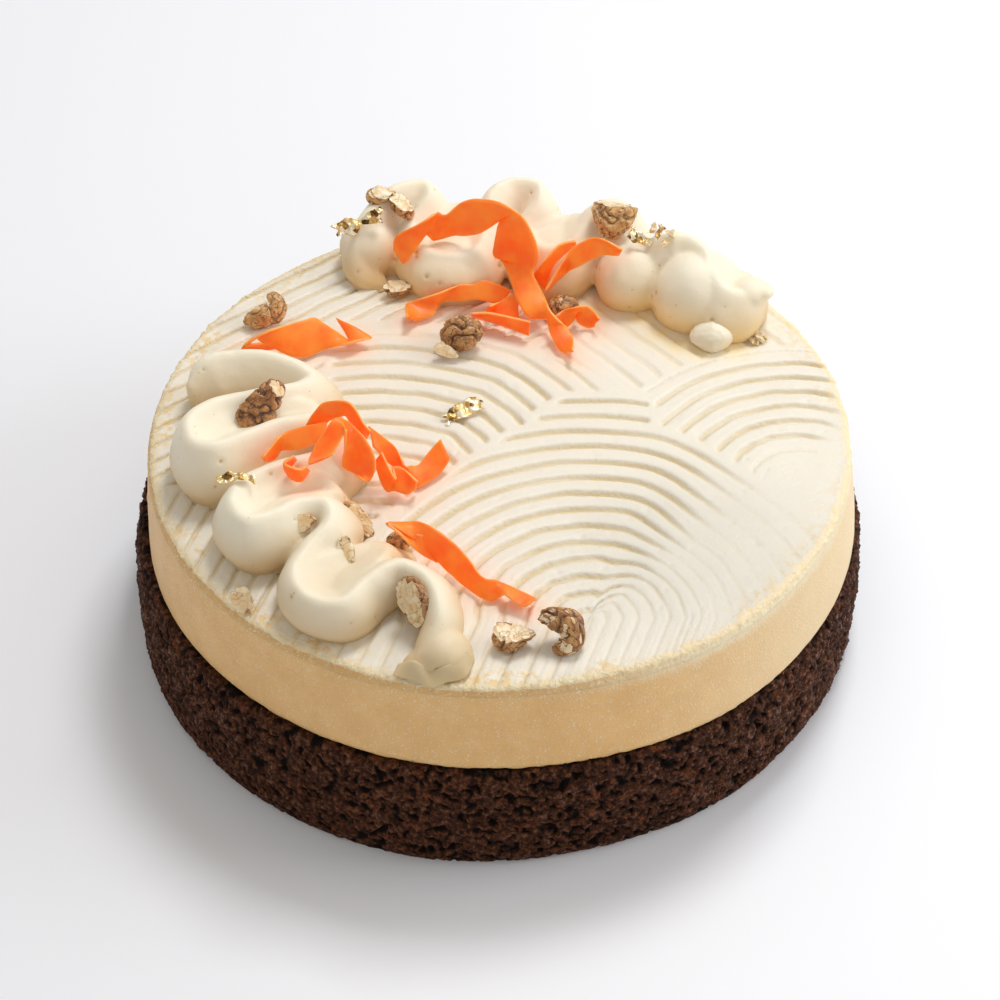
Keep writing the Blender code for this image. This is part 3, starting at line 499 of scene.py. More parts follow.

# %% [markdown]
# ## The paths of the carrot ribbons
# The ribbons are made later, but their paths are needed now: wet carrot stains the cream around it, and
# painted light bounced off the carrot warms it too, so the cream has to know where the carrot lies. Each
# ribbon is a row of stations. A station gives the middle (x, y, height over the cream, in millimetres),
# then the bearing and the slope of the width in degrees, and the width. The stations are the solid
# model's own.

# %% The ribbons' stations
RIBBONS = {
    "carrot_left": [
        (-62, 34.5, 3.5, -55, 60, 5), (-71, 33.5, 3.5, -50, 58, 5), (-66, 32.5, 9, -27, 38, 5),
        (-62.5, 32.5, 9, 32, 23, 7.5), (-54, 35, 5.5, 64, 39, 12), (-48.5, 37, 4, 81, 48, 7),
        (-41.5, 36.5, 2.5, 97, -33, 5), (-40.5, 41.5, 3.5, 148, 11, 12)],
    "carrot_front": [
        (-17.5, -50.5, 5, 110, 31, 8), (-21, -49.5, 6, 93, 53, 5), (-26, -47, 8.5, 82, -31, 5),
        (-29, -45.5, 9.5, 81, -43, 5), (-25, -46, 9, 69, -20, 5), (-19.5, -48, 7.5, 80, 55, 6.5),
        (-11, -55.5, 4.5, 78, 45, 8), (-4.5, -63, 3, 104, 41, 6.5), (-1.5, -63.5, 3, 105, 44, 5),
        (0.5, -64, 3.5, 100, -7, 5), (5.5, -67, 2.5, 77, -7, 5), (8, -67.5, 2.5, 68, -31, 5)],
    "carrot_mid_wing": [
        (-62, -25.5, 14.5, -91, 53, 5), (-59.5, -23.5, 15, -133, 79, 5), (-57.5, -21, 16, -158, 86, 5),
        (-54, -21, 17, 113, 20, 6), (-45.5, -20, 19, 83, 22, 5.5)],
    "carrot_mid_arch": [
        (-49, -15.5, 16, 179, 36, 5), (-47, -15.5, 20, -176, 40, 5), (-44, -16, 23, 134, 28, 5.5),
        (-39.5, -17, 24, -14, 79, 5), (-36.5, -18.5, 18.5, -24, 58, 5),
        (-34.5, -17.5, 15.5, -58, 62, 5)],
    "carrot_mid_fold": [
        (-46.5, -31, 19, 27, 4, 7), (-46, -29, 19.5, 9, 4, 6.5), (-42, -23, 23, -42, -17, 5),
        (-40, -22.5, 23, -89, 9, 5), (-38, -24, 18, -156, -28, 6.5), (-37, -25, 12.5, -175, -10, 9),
        (-35.5, -26.5, 10, 175, -10, 5.5), (-35, -28.5, 9, -104, 41, 5)],
    "carrot_mid_tail": [
        (-34, -16, 13.5, 105, 25, 6), (-28.5, -18.5, 9, 60, 54, 5), (-25, -18.5, 4, -119, 70, 5),
        (-23, -20, 2.5, 106, 26, 6.5), (-20, -18.5, 2.5, 130, 25, 5.5), (-17, -15, 3.5, 125, 28, 6.5),
        (-14.5, -12.5, 5.5, 123, 43, 6)],
    "carrot_mid_loop": [
        (-32, -22, 11.5, -30, 62, 5), (-29, -25, 4.5, -4, 56, 5), (-28, -23.5, 5, 97, 45, 6.5),
        (-25, -24, 4.5, 100, 36, 7), (-22, -25, 4.5, -84, 58, 5)],
    "carrot_mid_curl": [
        (-53, -30, 19, -90, 52, 5), (-55.5, -32.5, 17.5, -110, 75, 5), (-52, -33, 15.5, -79, 81, 5),
        (-50, -31, 16, -101, 55, 5)],
    "carrot_back_right": [
        (14, 53.5, 6.5, -99, 34, 5), (19, 56, 12.5, -151, 81, 5), (22, 56.5, 15.5, 99, 30, 6),
        (29, 57, 19, 111, 44, 5.5), (35, 55, 18.5, -71, 53, 5)],
    "carrot_back_inner": [
        (12, 56.5, 7, 137, 36, 5.5), (15, 58, 13, -139, 67, 5), (19, 60.5, 16, -135, 56, 5),
        (22.5, 62, 16.5, -94, 54, 5)],
    "carrot_back_low": [
        (-24.5, 45.5, 3, -128, 47, 5), (-22, 50.5, 2.5, 158, 14, 8), (-16.5, 53, 4.5, -105, 72, 5),
        (-12, 53.5, 6, 45, 40, 5.5), (-8.5, 54, 5.5, 45, 30, 6), (-4.5, 54.5, 6, 54, 31, 6.5),
        (2.5, 54, 3.5, 46, 29, 5)],
    "carrot_back_flap": [
        (-3, 49, 3.5, -57, 55, 5), (1, 49.5, 3, 78, 30, 5.5), (4.5, 49, 3.5, 89, 25, 8.5),
        (6, 48.5, 3.5, 90, 40, 6.5)],
    "carrot_back_band": [
        (-7, 45.5, 4, -111, 52, 5), (-1.5, 44.5, 4, -112, 68, 5), (9, 39.5, 4, -18, 85, 5)],
    "carrot_back_loop": [
        (17.5, 45, 3, -132, 52, 5), (19.5, 45, 3, 105, 47, 5), (23, 45.5, 5.5, -73, 63, 5),
        (24, 45, 4.5, 31, 52, 5.5), (26.5, 44, 3, 33, 53, 5), (28, 43, 3, -54, 59, 5)],
    "carrot_back_arch": [
        (-28, 66, 9.5, 133, 36, 5), (-26, 66, 14, 139, 25, 7), (-20.5, 68, 18, 144, 87, 5),
        (-18, 69.5, 18, 59, 52, 7.5), (-16, 69, 17.5, 23, 64, 9), (-10.5, 70, 20, 38, 64, 11.5),
        (-2.5, 66, 23, 29, 56, 11), (3.5, 65, 24.5, -20, 40, 6), (4.5, 63, 23, -27, 27, 10),
        (5.5, 61, 16, -19, 13, 13.5), (5.5, 59.5, 13, -18, 4, 13), (6, 58, 11, -29, -4, 10),
        (10.5, 47, 6, 39, 15, 8), (13.5, 44.5, 5, -29, 53, 5), (15.5, 42.5, 4.5, -48, 33, 5),
        (17, 39, 3.5, 21, 16, 5), (19, 34, 2.5, 26, 16, 5), (20, 30, 3, -62, 44, 5)],
}
print(len(RIBBONS), "ribbons with", sum(map(len, RIBBONS.values())), "stations")

# %% [markdown]
# A smooth curve through the stations gives the path. The same curve serves for the piped swirls. The
# cream is also yellow in the shade at the foot of the back swirl, where a few spots mark the line.

# %% Smooth curves, and where the cream is tinted
def smooth(points, counts):
    """Run a smooth curve through points, with the given number of steps on each stretch."""
    ends = [2 * points[0] - points[1], 2 * points[-1] - points[-2]]
    knots = [ends[0], *points, ends[1]]
    route = []
    for count, before, start, end, after in zip(counts, knots, knots[1:], knots[2:], knots[3:]):
        for part in range(count):
            t = part / count
            bend = 2 * before - 5 * start + 4 * end - after
            twist = 3 * (start - end) + after - before
            route.append(start + t / 2 * (end - before + t * (bend + t * twist)))
    return route + [points[-1]]


def step_counts(points, step):
    """How many steps of about this length fit on each stretch between points."""
    return [max(1, round((end - start).length / step)) for start, end in zip(points, points[1:])]


carrot_points = []
for stations in RIBBONS.values():
    middles = [Vector(station[:3]) for station in stations]
    carrot_points += smooth(middles, step_counts(middles, 1.5))
carrot_tree = kdtree.KDTree(len(carrot_points))
for index, point in enumerate(carrot_points):
    carrot_tree.insert(point * MM + Vector((0, 0, TOP)), index)
carrot_tree.balance()


def carrot_stain_and_bounce(place, reach=7 * MM):
    """How strongly the carrot's stain and its painted bounce light tint the cream at a point, from 0 to 1.
    """
    distance = carrot_tree.find(place)[2]
    return math.exp(-(distance / reach) ** 2)


FOOT_SPOTS = [(-28, 61), (18, 55), (27, 52), (35, 54), (41, 49), (46, 41), (51, 36.5), (57, 34), (66, 35)]


def foot_shade(place, reach):
    """How yellow the cream is in the shade at the foot of the back swirl, from 0 to 1."""
    nearest = min(math.hypot(place.x - x * MM, place.y - y * MM) for x, y in FOOT_SPOTS)
    return math.exp(-(nearest / reach) ** 2)


print("The carrot's paths have", len(carrot_points), "points")

# %% [markdown]
# ## The combed cream
# The top was drawn over with a toothed comb in several sweeping fans. Each tooth left a narrow groove
# with a steep inner wall and a floor that rises outwards, and flat ridges in between. A fan is a way to
# count grooves: the distance from the fan's middle over the pitch. Its grooves fade where the comb was
# lifted, and between two fans they end.

# %% The comb's strokes
COMB_PITCH, COMB_DEPTH = 6.2, 1.1
FAN_DEPTH = {"near": 1, "right": 0.9, "left": 1, "back": 0.35, "edge": 0.7, "far": 0.8}


def comb_fans(x, y):
    """The fan a point lies in, the grooves across it, the way along it, and what is left of its depth."""
    run, rise = x - 22 - 0.35 * min(y + 72, 0), max(y + 72, 0)
    near = math.hypot(run, rise)
    turn = soft_step(run / (near + 0.01), 0.25, 0.75)
    lifted = 1 - soft_step(run / (near + 0.01), 0.4, 0.75) * (0.65 + 0.25 * soft_step(near, 22, 32))
    lifted *= 1 - 0.6 * soft_step(-y, 60, 74)
    near += 0.58 * turn * (min(near, 40) - 27.5)
    if x - y > 2 and (near < 76 or (near < 88 and 9 < x < 42)):
        return "near", (near - 9.5) / 6.25, math.atan2(rise, run) * 40, lifted
    right, bearing = math.hypot(x - 80, y + 22), math.atan2(y + 22, x - 80)
    if right < 56 and x > 38 and y > -40:
        lifted = soft_step(right, 8, 24) * soft_step(bearing, 1.0, 1.4) * soft_step(3.1 - bearing, 0, 0.3)
        return "right", (right - 13) / 6, bearing * 45, lifted
    left, bearing = math.hypot(x + 35, y + 40), math.atan2(y + 40, x + 35)
    if left < 88 and x > -48 and y > -36:
        bent = left + 16 * max(0, 1.08 - bearing)
        return "left", (bent - 51.4) / 6.3, bearing * 65, 1 - 0.6 * soft_step(left, 76, 84)
    if x > 16:
        return "back", (0.77 * x + 0.64 * y) / 7, 0.77 * y - 0.64 * x, 1
    if y < -20:
        return "edge", (0.94 * x - 0.34 * y) / 5.2, 0.94 * y + 0.34 * x, 1
    return "far", (0.6 * x - 0.8 * y) / 5.4, 0.6 * y + 0.8 * x, 1


def comb_relief(x, y):
    """The top at a point: its height over the ridges in mm, the grooves across, and their strength."""
    fan, across, along, lifted = comb_fans(x, y)
    groove = round(across)
    across += 0.08 * noise.noise(Vector((along / 9, groove * 3.7, 1)))
    uneven = max(0.15, 0.9 + 0.5 * noise.noise(Vector((along / 14, groove * 5.1, 8))))
    alike = sum(comb_fans(x + reach * math.cos(turn), y + reach * math.sin(turn))[0] == fan
                for reach in (1.1, 2.2) for turn in range(6)) / 12
    ending = soft_step(alike, 0.7, 1)
    strength = FAN_DEPTH[fan] * lifted * uneven * ending
    off = (across - groove) * COMB_PITCH
    profile = soft_step(off, -0.9, -0.1) * (1 - soft_step(off, 0.2, 1.9))
    lines = noise.noise(Vector((across * 7, along / 26, 3)))
    lines += 0.6 * noise.noise(Vector((across * 17, along / 12, 5)))
    tears = max(0, noise.noise(Vector((across * 2.2, along / 3.5, 11))) - 0.42)
    relief = -COMB_DEPTH * strength * profile + (0.09 * lines - 0.7 * tears * FAN_DEPTH[fan]) * ending
    return relief + 0.2 * noise.noise(Vector((x / 13, y / 13, 2))), across, strength


print("A groove in the near fan is", round(-comb_relief(22, -31)[0], 2), "mm deep")

# %% [markdown]
# A square grid that is drawn out to a disc has even squares everywhere. Its points keep the count of
# grooves and their strength for the finish, which draws the edges of the grooves finer than the mesh.
# At the rim the cream is ragged, and its side runs down flush with the cheesecake. Each row of its side
# gives a height, how far the row has come from the ragged rim to the cheesecake, and how proud it is.

# %% The cream top's shape
CREAM_SIDE = [(59.2, 0.2, 0), (58.8, 0.45, 0.05), (58.4, 0.7, 0.1), (58, 0.9, 0.1), (57.4, 1, 0.05),
              (57, 1, -0.8)]
CREAM_EDGE = 59.4 * MM
CREAM_LAYERS = ("across", "groove", "edge", "carrot_stain_and_bounce", "side", "thin", "foot")


def rim_radius(angle):
    """The radius of the cream's ragged edge."""
    around = Vector((math.cos(angle), math.sin(angle), 0))
    wide = 0.9 * noise.noise(around * 2.5) + 0.5 * noise.noise(around * 11)
    return RIM_RADIUS + (wide + 0.35 * noise.noise(around * 40) + 0.25 * noise.noise(around * 95)) * MM


def make_cream_top():
    """The combed cream as a square grid drawn out to a disc."""
    cells = round(296 * FINE)

    def place(u, v):
        across, up = 2 * u - 1, 2 * v - 1
        x, y = across * math.sqrt(1 - up * up / 2), up * math.sqrt(1 - across * across / 2)
        reach = rim_radius(math.atan2(y, x))
        return Vector((x * reach, y * reach, 0))

    bm = sheet(cells, cells, place)
    counted, grooved, at_edge, tinted, at_side, painted_shade_near_right, at_foot = new_layers(bm, *CREAM_LAYERS)
    for vert in bm.verts:
        x, y = vert.co.x, vert.co.y
        inward = max(0, rim_radius(math.atan2(y, x)) - math.hypot(x, y))
        relief, vert[counted], vert[grooved] = comb_relief(x / MM, y / MM)
        crumbs = math.exp(-inward / (1.6 * MM))
        ragged = 0.9 * noise.noise(vert.co / (1.5 * MM)) + 0.6 * noise.noise(vert.co / (0.7 * MM))
        drop = 0.8 * math.exp(-inward / (0.8 * MM))
        lower = (relief * (1 - 0.7 * crumbs) + 0.4 * ragged * crumbs - drop) * MM
        vert.co.z = max(TOP + lower, CREAM_EDGE)
        vert[at_edge] = math.exp(-inward / (6 * MM))
        vert[tinted] = carrot_stain_and_bounce(vert.co)
        # painted shade: a dull patch at the near right of the top, kept in the layer thin
        vert[painted_shade_near_right] = 1 - soft_step(math.hypot(x - 52 * MM, y + 50 * MM), 12 * MM, 50 * MM)
        vert[at_foot] = foot_shade(vert.co, 5 * MM)
    rim = [edge for edge in bm.edges if edge.is_boundary]
    for height, share, proud in CREAM_SIDE:
        skirt = bmesh.ops.extrude_edge_only(bm, edges=rim)["geom"]
        for vert in [part for part in skirt if isinstance(part, bmesh.types.BMVert)]:
            rough = 0.4 * MM * noise.noise(vert.co / (0.9 * MM)) * (1 - 0.8 * share)
            flush = (CHEESE_SIDE[0][0] + proud) * MM + waver(vert.co)
            here = rim_radius(math.atan2(vert.co.y, vert.co.x)) * (1 - share) + flush * share
            vert.co *= (here + rough) / math.hypot(vert.co.x, vert.co.y)
            vert.co.z = height * MM
            vert[at_edge], vert[at_side], vert[grooved] = 1, min(1, 0.35 + share), 0
        rim = [part for part in skirt if isinstance(part, bmesh.types.BMEdge) and part.is_boundary]
    bmesh.ops.edgeloop_fill(bm, edges=rim)
    bmesh.ops.recalc_face_normals(bm, faces=bm.faces)
    return bm


cream_bm = make_cream_top()
print("The combed cream's mesh has", len(cream_bm.verts), "points")

# %% [markdown]
# The ridges are a warm white, with painted shade that makes them a little duller at the near right. In the
# grooves the comb went through to yellower cream, and painted shade darkens them as well. Near the rim the
# cream is dotted with ochre and frosty white, the carrot leaves a peach tint that is part stain and part
# painted bounce light, the foot of the back swirl gets painted yellow shade, and the side has the
# cheesecake's colour.

# %% The cream top's finish
combed = Finish("combed_cream", 0.42)
strength = combed.layer("groove")
edge = combed.layer("edge")
wobble = (combed.grain(1.3, 3, 0.6) - 0.5) * 1.1
off = ((combed.layer("across") + 0.5).fraction() - 0.5) * COMB_PITCH
grooves = (off + wobble).between(-0.6, 0.0) * (1 - (off + wobble).between(0.15, 1.75)) * strength
blot = combed.grain(6, 3)
white = combed.tint(combed.grain(22, 2), (0.87, 0.815, 0.705), (0.83, 0.775, 0.66))
# painted shade: the near right of the top is made duller
thin = combed.layer("thin") * (0.8 + 0.4 * combed.grain(9, 2))
white = combed.tint(thin * 0.8, white, (0.72, 0.68, 0.59))
# painted shade: yellow shade at the foot of the back swirl
white = combed.tint(combed.layer("foot") * 0.65, white, (0.95, 0.73, 0.32))
# the grooves are yellower cream, darkened further by painted shade
grooves_tinted_and_shaded = combed.tint(grooves * (0.75 + 0.4 * blot), white, (0.80, 0.655, 0.38))
# part carrot stain, part painted bounce light from the carrot
peach = combed.tint(combed.layer("carrot_stain_and_bounce") * 0.5, grooves_tinted_and_shaded, (0.98, 0.66, 0.42))
way = combed.axis(combed.where, "X").between(10 * MM, 60 * MM)
specks = combed.grain(2.0, 4, 0.65).between(0.46, 0.58) * edge.between(0.15, 0.6) * (1 - 0.55 * way)
ochre = combed.tint(specks * 0.85 * combed.grain(14, 2).between(0.42, 0.58), peach, (0.80, 0.56, 0.22))
frost = combed.grain(0.9, 2).between(0.5, 0.7) * edge.between(0.75, 0.95)
rim_share = (edge + combed.grain(2, 3) * 0.4).between(0.8, 1.15) * 0.85
rim_tone = combed.tint(rim_share, ochre, (0.98, 0.77, 0.46))
rim_colour = combed.tint(frost * 0.4, rim_tone, (1.0, 0.91, 0.72))
ragged = combed.layer("side") + (combed.grain(1.4, 3) - 0.5) * 0.6
side_colour = combed.tint(ragged.between(0.25, 0.45), rim_colour, baked_tone(combed))
combed.set({"Base Color": side_colour, "Roughness": 0.38 + 0.2 * blot, "Subsurface Weight": 0.3,
            "Subsurface Scale": 0.003, "Subsurface Radius": (1.0, 0.75, 0.5)})
rough_rim = combed.grain(1.0, 3, 0.6) * edge.between(0.5, 0.9) * (0.9 - 0.45 * way)
soft_relief = combed.grain(0.9, 3, 0.55) * 0.09 + combed.grain(2.5, 2) * 0.08
combed.bumps(soft_relief - grooves * 0.3 + rough_rim, 1.0)
keep(cream_bm, "combed_cream_top", combed, ["cream_top"], sharp=75)

# %% [markdown]
# ## The piped swirls
# Each swirl is one thick strand of cream, piped from a round nozzle in tight bends along the edge. Its
# crest is a soft ridge; the outer face bulges and tucks in at its foot; and inside each bend the cream
# slopes gently down into a shallow bowl. The strand is a tube swept along the crest. The bowls are a
# second shape: a surface that lies a little under the crests around it and fades away where the
# crests no longer surround it. Round mounds fill the thick parts and the ends. A voxel remesh melts it
# all into one skin, as wet cream does. Crests and mounds are given in millimetres: the place and the
# height over the cream, and for a mound its radius across and upwards as well.

# %% The swirls' crests
FRONT_CREST = [
    (-85, 10, 10), (-80, 15.5, 15), (-71, 17.5, 15.5), (-60, 16, 15.5), (-51, 10, 14), (-55, 3.8, 15),
    (-66, -0.8, 17), (-76, -5.5, 18), (-82, -13, 19), (-80.5, -21.5, 19), (-74.6, -23.4, 19),
    (-67, -18.8, 18), (-58, -12.6, 17), (-48, -11.2, 16), (-43.5, -17, 16), (-47.5, -24.2, 16),
    (-57, -28.5, 16.5), (-65.5, -35, 17), (-69.1, -42.5, 17), (-65.3, -49.5, 17), (-58.5, -47.5, 16.3),
    (-52, -42.2, 15.5), (-45.2, -41.8, 15), (-43.8, -48.5, 14), (-49, -56.2, 13.5), (-52.4, -65.5, 13),
    (-48.5, -73.8, 12.5), (-40, -76, 12.5), (-33.4, -68, 13), (-26.1, -63, 13), (-18.5, -68.7, 13),
    (-15.6, -77.7, 11.5), (-17.5, -84, 8.5), (-22.5, -90, 3.5)]
FRONT_MOUNDS = [(-14.5, -85.2, 1, 7.4, 7), (-20.5, -88, 0, 5, 4)]
BACK_CREST = [
    (-33.4, 66, 3.5), (-39.5, 71.5, 13), (-35.7, 79.4, 18), (-29, 86, 20), (-21, 88.7, 20),
    (-19.5, 83.5, 18.7), (-24.5, 76, 15), (-22, 68, 13.2), (-17, 63.8, 12.8), (-10.5, 63, 12.8),
    (-5.2, 66, 13.3), (-3, 73, 15.5), (-1.1, 83.3, 19.5), (5, 88.6, 20), (12, 87, 20), (12.7, 81, 19),
    (8.2, 74, 15), (9.8, 68, 14.2), (14.5, 64.3, 14.2), (20.5, 65.2, 15), (25, 70.5, 17),
    (28.5, 76, 19.7), (34.5, 77.8, 20), (39.3, 74, 18.3), (35.4, 68, 16), (40, 63.5, 15),
    (48.7, 61.7, 20), (54, 60.6, 20), (58.6, 56, 19.3), (60, 49.4, 17.5), (63.5, 43.8, 15),
    (70.2, 43, 13), (75.5, 45.5, 12)]
BACK_MOUNDS = [(-31, 79, 2, 10, 9), (-36, 76, 6, 9.5, 8), (-13.5, 68, 5, 13.3, 8), (3, 80, 2, 10, 9),
               (16.5, 69.5, 5, 12.8, 8.8), (38.5, 60, 5, 10.5, 10.5), (57, 52.5, 5, 13.5, 13),
               (66, 49.5, 3, 11, 10), (71.5, 46, 10.8, 5.4, 3.6), (75, 44.7, 12, 3, 1.9)]
SECTION_HEIGHT = 17
SECTION = [(0.5, 17), (1.8, 16.2), (3.3, 14.3), (4.9, 11.8), (6.3, 9.0), (7.2, 6.4), (7.4, 4.2),
           (6.9, 2.2), (5.9, 0.4), (5.0, -2)]
CREST_LEAN = 2.75
STRAND_STEP = 0.9
print("The crests have", len(FRONT_CREST), "and", len(BACK_CREST), "bends")


# %% A strand, and the bowls between its bends
def crest_route(crest, step):
    """The smooth line of a crest."""
    points = [Vector(point) for point in crest]
    return smooth(points, step_counts(points, step))


def make_strand(crest):
    """The piped tube: a grid whose rows run round the section and whose columns follow the crest."""
    route = crest_route(crest, STRAND_STEP)
    ring = SECTION + [(-width, height) for width, height in reversed(SECTION)]
    last = len(route) - 1

    def place(u, v):
        index, corner = round(u * last), round(v * len(ring)) % len(ring)
        point = route[index]
        along = route[min(index + 1, last)] - route[max(index - 1, 0)]
        side = Vector((along.y, -along.x, 0)).normalized()
        out = Vector((point.x, point.y, 0)).normalized() * CREST_LEAN
        to_end = min(index, last - index) / 6.7
        slimness = min(1, 0.35 + 0.65 * point.z / SECTION_HEIGHT) * min(1, 0.4 + 0.6 * to_end)
        width, height = ring[corner]
        share = height / SECTION_HEIGHT
        spot = Vector((point.x, point.y, 0)) - out + out * max(share, 0) + side * width * slimness
        spot.z = share * point.z
        return spot * MM

    bm = sheet(last, len(ring), place)
    bmesh.ops.remove_doubles(bm, verts=bm.verts, dist=0.01 * MM)
    bmesh.ops.holes_fill(bm, edges=[edge for edge in bm.edges if edge.is_boundary])
    bmesh.ops.recalc_face_normals(bm, faces=bm.faces)
    return bm


BOWL_REACH, BOWL_DEPTH, BOWL_LIP = 6.5, 4.6, 0.25


def bowl_height(x, y, line):
    """The height of the cream between the bends at a point, in mm, or below zero where there is none."""
    steps = line[:, :2] - (x, y)
    squared = (steps ** 2).sum(1) + 1.0
    weights = 1 / squared
    pull = (steps / np.sqrt(squared)[:, None] * weights[:, None]).sum(0) / weights.sum()
    around = 1 - float(np.hypot(*pull))
    crest = float((line[:, 2] * weights).sum() / weights.sum())
    nearest = int(squared.argmin())
    ahead = line[min(nearest + 1, len(line) - 1), :2] - line[max(nearest - 1, 0), :2]
    on_left = ahead[0] * -steps[nearest, 1] + ahead[1] * steps[nearest, 0] > 0
    distance = math.sqrt(max(0, float(squared[nearest]) - 1))
    drop = BOWL_LIP + BOWL_DEPTH * (1 - math.exp(-(distance / BOWL_REACH) ** 2))
    share = max(0, min(1, (around - 0.35) / 0.20)) * on_left
    return (crest - drop) * share * share * (3 - 2 * share) - 1.0


def make_bowls(crest):
    """The sloping cream inside the bends, as a thick sheet."""
    line = np.array([tuple(point) for point in crest_route(crest, 1.0)])
    lean = CREST_LEAN * line[:, :2] / np.linalg.norm(line[:, :2], axis=1)[:, None]
    line[:, :2] -= lean * 0.3
    low, high = line.min(0) - 12, line.max(0) + 12
    columns, rows = [round((high[axis] - low[axis]) / 0.8) for axis in (0, 1)]

    def place(u, v):
        x, y = low[0] + (high[0] - low[0]) * u, low[1] + (high[1] - low[1]) * v
        return Vector((x, y, max(-1, bowl_height(x, y, line)))) * MM

    bm = sheet(columns, rows, place)
    lower = bmesh.ops.extrude_face_region(bm, geom=bm.faces[:], use_keep_orig=True)["geom"]
    for vert in [part for part in lower if isinstance(part, bmesh.types.BMVert)]:
        vert.co.z = -3 * MM
    bmesh.ops.recalc_face_normals(bm, faces=bm.faces)
    return bm


def make_mound(x, y, height, across, up):
    """A round mound of cream in a bend."""
    bm = bmesh.new()
    lift = Matrix.Translation(Vector((x, y, height)) * MM)
    size = Matrix.Diagonal((across * MM, across * MM, up * MM, 1))
    bmesh.ops.create_icosphere(bm, subdivisions=5, radius=1, matrix=lift @ size)
    return bm


print("The back swirl's crest runs through", len(crest_route(BACK_CREST, STRAND_STEP)), "points")


# %% Melting a swirl into one skin
def melted(parts, name, voxel, rounds):
    """Melt several shapes into one skin, soften it, and cut it flat just over the cream."""
    mesh = bpy.data.meshes.new(name)
    together = bmesh.new()
    for part in parts:
        part.to_mesh(mesh)
        part.free()
        together.from_mesh(mesh)
    together.to_mesh(mesh)
    together.free()
    rough = bpy.data.objects.new(name + "_rough", mesh)
    bpy.context.scene.collection.objects.link(rough)
    melt = rough.modifiers.new("Melt", "REMESH")
    melt.mode, melt.voxel_size = "VOXEL", voxel
    soften = rough.modifiers.new("Soften", "SMOOTH")
    soften.factor, soften.iterations = 0.5, rounds
    bpy.context.view_layer.update()
    bm = bmesh.new()
    bm.from_object(rough, bpy.context.evaluated_depsgraph_get())
    bpy.data.objects.remove(rough)
    everything = bm.verts[:] + bm.edges[:] + bm.faces[:]
    bmesh.ops.bisect_plane(bm, geom=everything, dist=0.01 * MM, plane_co=(0, 0, -0.5 * MM),
                           plane_no=(0, 0, -1), clear_outer=True)
    bmesh.ops.holes_fill(bm, edges=[edge for edge in bm.edges if edge.is_boundary])
    bmesh.ops.translate(bm, verts=bm.verts, vec=(0, 0, TOP))
    bmesh.ops.recalc_face_normals(bm, faces=bm.faces)
    return bm


AIR_HOLES = 90


def add_pits(bm, seed, count):
    """Press small air holes into the cream, and mark them for the finish."""
    chance = random.Random(seed)
    pit_layer = bm.verts.layers.float.new("pit")
    bm.verts.ensure_lookup_table()
    places = []
    while len(places) < count:
        vert = bm.verts[chance.randrange(len(bm.verts))]
        if vert.normal.z < 0.75 and vert.co.z > TOP + 2 * MM:
            places.append((vert.co.copy(), chance.uniform(0.45, 1.05) ** 3 * MM))
            chance.random()  # Skipping one draw keeps the holes in their places.
    tree = kdtree.KDTree(count)
    for index, (spot, _) in enumerate(places):
        tree.insert(spot, index)
    tree.balance()
    moves = []
    for vert in bm.verts:
        _, index, distance = tree.find(vert.co)
        size = places[index][1]
        if distance < 3 * size:
            depth = math.exp(-(distance / size) ** 2 * 1.3)
            moves.append((vert, vert.normal * -depth * size * 0.55, depth))
    for vert, move, depth in moves:
        vert.co += move
        vert[pit_layer] = depth


def make_swirl(name, crest, bowl_bends, mounds, seed):
    """One swirl, with its air holes, the carrot's stain with its painted bounce light, and the painted
    shade at the foot.
    """
    parts = [make_strand(crest), make_bowls(crest[:bowl_bends])]
    parts += [make_mound(*values) for values in mounds]
    bm = melted(parts, name, 0.62 * MM / FINE, round(5 * FINE))
    add_pits(bm, seed, AIR_HOLES)
    tinted, at_foot = new_layers(bm, "carrot_stain_and_bounce", "foot")
    for vert in bm.verts:
        vert[tinted] = carrot_stain_and_bounce(vert.co, 6 * MM)
        vert[at_foot] = foot_shade(vert.co, 12 * MM)
        soft = noise.noise(vert.co / (9 * MM)) * 0.35 + noise.noise(vert.co / (3.5 * MM)) * 0.10
        vert.co += vert.normal * soft * MM
    return bm


# %% [markdown]
# Piped cream cheese frosting is ivory, denser and a little yellower than the combed cream. It is smooth
# with a soft sheen, so the finish is mostly light scattered under the surface and a faint cloud of colour.
# Painted shade makes the lower walls darker and yellower than the crests, deepest yellow at the foot of the
# back swirl, and turns the air holes ochre; the carrot's stain comes with painted bounce light. A row of
# the table gives a swirl's crest, how many of its bends hold a bowl, its mounds, and the seed of its air
# holes.

# %% The swirls' finish
piped = Finish("piped_cream", 0.38)
pit = piped.layer("pit")
cloud = piped.grain(12, 3)
over_top = (piped.axis(piped.where, "Z") - TOP) / MM
# painted shade: the lower walls are darker and yellower, the crests lighter, and the foot of the back swirl
# yellowest
painted_shade_tone = piped.tint(cloud, (0.70, 0.51, 0.27), (0.75, 0.57, 0.33))
painted_shade_tone = piped.tint(piped.layer("foot") * 0.85, painted_shade_tone, (0.97, 0.68, 0.32))
painted_lit_tone = piped.tint(cloud, (0.92, 0.83, 0.64), (0.95, 0.88, 0.72))
height = (over_top + cloud * 3).between(3, 17)
ivory = piped.tint(height + piped.layer("pale"), painted_shade_tone, painted_lit_tone)
# painted shade: the air holes and tiny pores are tinted ochre
tiny = (1 - piped.cells(3.1).between(0.02, 0.10)) * piped.grain(9, 2).between(0.5, 0.62)
holes = piped.tint(pit.between(0.35, 0.9) * 0.7 + tiny * 0.35, ivory, (0.66, 0.42, 0.13))
